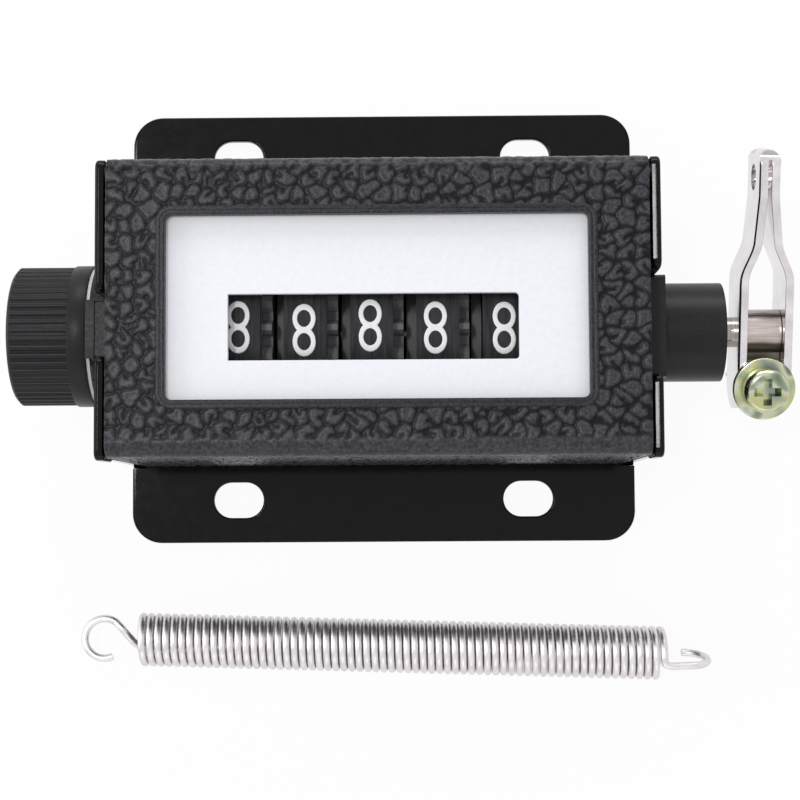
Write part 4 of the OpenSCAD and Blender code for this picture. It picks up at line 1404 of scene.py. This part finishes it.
@dataclass
class PullArm:
    """Folded arm, its clamp hub and the clamp screw."""

    shop: Workshop
    hub_place: Point = (50.5, -2.8, 18.0)
    lean: float = 14.0
    half_width: float = 4.4
    inner_share: float = 0.25
    clamp_place: Pair = (-0.2, -6.8)
    strip_edge: float = 0.42
    strip_segments: int = 4
    strip_side: float = 4.3
    top_facing: float = 0.45
    hub_edge: float = 0.22
    hub_segments: int = 3
    head_x: Pair = (0.9, 3.3)
    head_radius: float = 2.95
    head_crown: float = 0.95
    head_edge: float = 0.1
    shank: float = 1.5
    shank_edge: float = 0.25
    screw_end: float = -12.0
    screw_steps: int = 72
    crown_steps: int = 8
    cross: Pair = (1.85, 0.575)
    cross_floor: Pair = (1.147, 0.4025)
    cross_x: Pair = (2.0, 3.5)
    washer_edge: float = 0.25
    nut_edge: float = 0.2

    def local(self, place: Vector) -> Point:
        """Turn a place in the frame into one on the arm.

        Args:
            place: the place.

        Returns:
            The distances across, along and out of the arm.
        """
        turn = math.radians(self.lean)
        x, y, z = place - Vector(self.hub_place)
        return x, y * math.cos(turn) + z * math.sin(turn), z * math.cos(turn) - y * math.sin(turn)

    def strip_share(self, place: Vector, facing: Vector) -> float:
        """Tell how much of the strip's rounding an edge gets.

        Args:
            place: middle of the edge in millimetres.
            facing: the way that the edge faces.

        Returns:
            All of it on the outer long edges, less on the inner ones and none at holes and ends.
        """
        across, _, out = self.local(place)
        if abs(out) < self.strip_side:
            return 0.0
        outer = across * facing.x > 0 or facing.y > self.top_facing
        return 1.0 if outer else self.inner_share

    def frame_of_clamp(self) -> Matrix:
        """Work out where the clamp screw sits.

        Returns:
            The matrix that takes the screw from the X axis to its place in metres.
        """
        hub = Matrix.Translation(Vector(self.hub_place) * MM)
        lean = Matrix.Rotation(math.radians(self.lean), 4, "X")
        spot = Matrix.Translation(Vector((*self.clamp_place, self.half_width)) * MM)
        return hub @ lean @ spot @ Matrix.Rotation(-math.pi / 2, 4, "Y")

    def screw(self) -> Object:
        """Turn the clamp screw and cut its tapered cross recess.

        Returns:
            The screw in its place.
        """
        under, top = self.head_x
        end, crown, radius = self.screw_end, self.head_crown, self.head_radius
        dome = arc(top - crown, radius - crown, crown, crown, 90, 0, self.crown_steps)
        profile = [(end, 0), (end, self.shank - self.shank_edge),
                   (end + self.shank_edge, self.shank), (under, self.shank),
                   (under, radius - self.head_edge), (under + self.head_edge, radius),
                   *dome, (top, 0)]
        body = revolved("clamp_screw_turned", profile, (0.0, 0.0), self.screw_steps)
        along = [(x, y, z) for x, (long, wide) in zip(self.cross_x, (self.cross_floor, self.cross))
                 for y, z in ((-long, -wide), (long, -wide), (long, wide), (-long, wide))]
        across = [(x, -z, y) for x, y, z in along]
        bars: list[Object] = []
        for points in (along, across):
            bar = new_object("cross_bar", points, tube(2, 4))
            cut = body.modifiers.new("cross recess", "BOOLEAN")
            cut.object = bar
            cut.operation = "DIFFERENCE"
            bars.append(bar)
        screw = evaluated(body, "clamp_screw_finished")
        for bar in bars:
            bpy.data.objects.remove(bar)
        screw.data.transform(self.frame_of_clamp())
        smooth(screw)
        return screw

    def build(self) -> None:
        """Round the edges of strip, hub and screw and let them ride on the lever."""
        body = Body.LEVER.value
        strip = softened(self.shop.node("pull_arm"), "pull_arm_finished", self.strip_edge,
                         self.strip_segments, clamp=False, share=self.strip_share)
        self.shop.place(strip, body, Slot.NICKEL, ["pull_arm"])
        hub = softened(self.shop.node("arm_hub"), "arm_hub_finished", self.hub_edge,
                       self.hub_segments)
        # The hub's finish paints shade in a band below the barrel.
        self.shop.place(hub, body, Slot.NICKEL, ["arm_hub"], HUB_STEEL_PAINTED_SHADE.make())
        self.shop.place(self.screw(), body, Slot.ZINC, ["clamp_screw"])
        self.shop.soften({"clamp_washer": self.washer_edge, "clamp_nut": self.nut_edge},
                         body, Slot.ZINC)


# tension spring


@dataclass
class TensionSpring:
    """Loose close wound spring with a hook at each end."""

    shop: Workshop
    outside: float = 7.44
    wire: float = 1.04
    turns: int = 65
    ends: Pair = (-100.0, 108.0)
    length: float = 73.8
    centre: Pair = (2.35, -45.0)
    turn: float = -1.8
    hook: float = 2.75
    hook_left: float = 5.05
    hook_right: float = 3.6
    sweep_left: Pair = (-65.0, -305.0)
    sweep_right: Pair = (80.0, -100.0)
    lean: float = 15.0
    sink: float = 0.2
    side: float = 0.75
    handles_left: tuple[Point, Point] = ((1.6383, -1.1472, 1.8), (-0.2, -1.8, 0.7))
    handles_right: tuple[Point, Point] = ((0.2, -1.0, -0.24), (-2.2, 0.0, 0.0))
    points_per_turn: int = 28
    hook_steps: tuple[int, int] = (40, 30)
    join_steps: tuple[int, int] = (16, 8)
    sides: int = 12

    def bow(self, start: Vector, end: Vector, handles: tuple[Point, Point],
            count: int) -> list[Vector]:
        """Follow a bend given by its ends and handles.

        Args:
            start: first end.
            end: last end.
            handles: handle of each end, as a way from it.
            count: number of steps.

        Returns:
            The points between the ends.
        """
        first, last = start + Vector(handles[0]), end + Vector(handles[1])
        found: list[Vector] = []
        for t in (k / count for k in range(1, count)):
            r = 1 - t
            found.append(r ** 3 * start + 3 * r * r * t * first
                         + 3 * r * t * t * last + t ** 3 * end)
        return found

    def path(self) -> list[Vector]:
        """Follow the wire from the end of the left hook to the end of the right hook.

        Returns:
            Points of the wire, with the spring along X about the origin.
        """
        half = (self.length - self.wire) / 2
        radius = (self.outside - self.wire) / 2
        sweep = 360 * self.turns + self.ends[1] - self.ends[0]
        count = round(sweep / 360 * self.points_per_turn)
        body: list[Vector] = []
        for k in range(count + 1):
            turn = math.radians(self.ends[0] + sweep * k / count)
            along = half * (2 * k / count - 1)
            body.append(Vector((along, radius * math.cos(turn), radius * math.sin(turn))))
        left = Vector((-half - self.hook_left, 0, -self.sink))
        right = Vector((half + self.hook_right, -self.side, -self.sink))
        lean = math.radians(self.lean)
        upright = Vector((0, -math.sin(lean), math.cos(lean)))
        arc_l, arc_r = (arc(0, 0, self.hook, self.hook, *span, steps) for span, steps
                        in zip((self.sweep_left, self.sweep_right), self.hook_steps))
        hook_l = [left + Vector((x, y, 0)) for x, y in arc_l]
        hook_r = [right + Vector((x, 0, 0)) + y * upright for x, y in arc_r]
        join_l = self.bow(hook_l[-1], body[0], self.handles_left, self.join_steps[0])
        join_r = self.bow(body[-1], hook_r[0], self.handles_right, self.join_steps[1])
        return hook_l + join_l + body + join_r + hook_r

    def build(self) -> None:
        """Wind the spring and let it ride on its own body."""
        turn = Matrix.Rotation(math.radians(self.turn), 4, "Z")
        spot = Matrix.Translation((*self.centre, self.outside / 2)) @ turn
        points = [tuple(spot @ p) for p in self.path()]
        line = new_object("spring_line", points, [], [(k, k + 1) for k in range(len(points) - 1)])
        plate = SPRING_PLATE.make()
        coil = wire_tree().grow(line, "spring_coil", {
            "Radius": self.wire / 2 * MM, "Sides": self.sides, "Finish": plate})
        smooth(coil, angle=60)
        self.shop.place(coil, Body.SPRING.value, Slot.NICKEL, ["tension_spring"], plate)


# studio


@dataclass
class Studio:
    """Pale floor, soft light and the camera of the photograph."""

    eye: Point = (4.579, -28.067, 260.676)
    target: Point = (2.406, -10.323, 0.0)
    up: Point = (0.00658, 0.99767, 0.06785)
    lens: float = 82.315
    ambient: float = 0.6
    floor_white: float = 0.93
    floor_reach: float = 900.0
    floor_z: float = -0.05

    def white_share(self, tree: NodeTree) -> Node:
        """Tell the rays that see the background from those that light the object.

        Args:
            tree: tree of a material or of the world.

        Returns:
            A node that gives 1 for camera, glossy and transmission rays.
        """
        ray = add_node(tree, "ShaderNodeLightPath").outputs
        seen = add_node(tree, "ShaderNodeMath",
                        {0: ray["Is Camera Ray"], 1: ray["Is Glossy Ray"]}, operation="MAXIMUM")
        return add_node(tree, "ShaderNodeMath", {0: seen, 1: ray["Is Transmission Ray"]},
                        operation="MAXIMUM")

    def world(self) -> None:
        """Light the scene evenly, with a white background."""
        world = bpy.data.worlds.new("studio")
        bpy.context.scene.world = world
        tree = empty_tree(world)
        level = add_node(tree, "ShaderNodeMix",
                         {0: self.white_share(tree), "A": self.ambient, "B": 1.0},
                         data_type="FLOAT")
        light = add_node(tree, "ShaderNodeBackground",
                         {"Color": linear("#ffffff"), "Strength": level})
        add_node(tree, "ShaderNodeOutputWorld", {"Surface": light})

    def floor(self) -> None:
        """Lay a pale floor that keeps a soft shadow."""
        corners = [(x * self.floor_reach, y * self.floor_reach, self.floor_z)
                   for x, y in ((-1, -1), (1, -1), (1, 1), (-1, 1))]
        floor = new_object("floor", corners, [(0, 1, 2, 3)])
        material = bpy.data.materials.new("white paper")
        tree = empty_tree(material)
        share = add_node(tree, "ShaderNodeMath", {0: self.white_share(tree), 1: self.floor_white},
                         operation="MULTIPLY")
        paper = add_node(tree, "ShaderNodeBsdfDiffuse", {"Color": linear("#f8f8f8")})
        glow = add_node(tree, "ShaderNodeEmission", {"Color": linear("#ffffff"), "Strength": 1.0})
        mix = add_node(tree, "ShaderNodeMixShader", {0: share, 1: paper, 2: glow})
        add_node(tree, "ShaderNodeOutputMaterial", {"Surface": mix})
        dress(floor, material)

    def lamp(self, name: str, place: Point, aim: Point, size: Pair, power: float) -> None:
        """Set up a long soft box.

        Args:
            name: name of the lamp.
            place: its place in millimetres.
            aim: the place that it looks at.
            size: length and height of the box in millimetres.
            power: power in watts.
        """
        data = bpy.data.lights.new(name, "AREA")
        data.shape = "RECTANGLE"
        data.size, data.size_y = (side * MM for side in size)
        data.energy = power
        lamp = bpy.data.objects.new(name, data)
        spot = Vector(place) * MM
        turn = (Vector(aim) * MM - spot).to_track_quat("-Z", "Y").to_matrix().to_4x4()
        lamp.matrix_world = Matrix.Translation(spot) @ turn
        bpy.context.scene.collection.objects.link(lamp)

    def camera(self) -> None:
        """Set the camera where the photograph was taken."""
        data = bpy.data.cameras.new("camera")
        data.lens = self.lens
        data.sensor_width = 36.0
        data.sensor_fit = "HORIZONTAL"
        data.clip_start = 0.01
        eye = Vector(self.eye) * MM
        back = (eye - Vector(self.target) * MM).normalized()
        right = Vector(self.up).cross(back).normalized()
        turn = Matrix((right, back.cross(right), back)).transposed().to_4x4()
        camera = bpy.data.objects.new("camera", data)
        camera.matrix_world = Matrix.Translation(eye) @ turn
        bpy.context.scene.collection.objects.link(camera)
        bpy.context.scene.camera = camera

    def build(self) -> None:
        """Set up floor, light and camera."""
        bpy.context.scene.view_settings.view_transform = "Standard"
        self.world()
        self.floor()
        self.lamp("top_box", place=(-735.0, 356.0, 3000.0), aim=(35.0, 356.0, 33.0),
                  size=(560.0, 260.0), power=20.0)
        self.lamp("left_box", place=(-440.0, 30.0, 180.0), aim=self.target,
                  size=(400.0, 160.0), power=0.7)
        self.lamp("upper_box", place=(40.0, 440.0, 180.0), aim=self.target,
                  size=(420.0, 160.0), power=1.0)
        self.lamp("lower_box", place=(0.0, -420.0, 180.0), aim=self.target,
                  size=(400.0, 160.0), power=0.15)
        self.camera()


def dress_nodes(shop: Workshop) -> None:
    """Give every CAD node the material of its slot in the record."""
    for part in shop.frame["record"]["subparts"]:
        dress(shop.node(part["node"]), shop.materials[Slot(part["material_slot"])])


def main() -> None:
    """Build the looks around the frame and report each piece."""
    logging.basicConfig(level=logging.INFO, format="%(name)s: %(message)s")
    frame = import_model()
    shop = Workshop(frame, {slot: finish.make() for slot, finish in FINISHES.items()})
    dress_nodes(shop)
    for assembly in (Cover, Housing, NumberWheels, ResetKnob, PullArm, TensionSpring):
        assembly(shop).build()
    Studio().build()


if __name__ == "__main__":
    main()
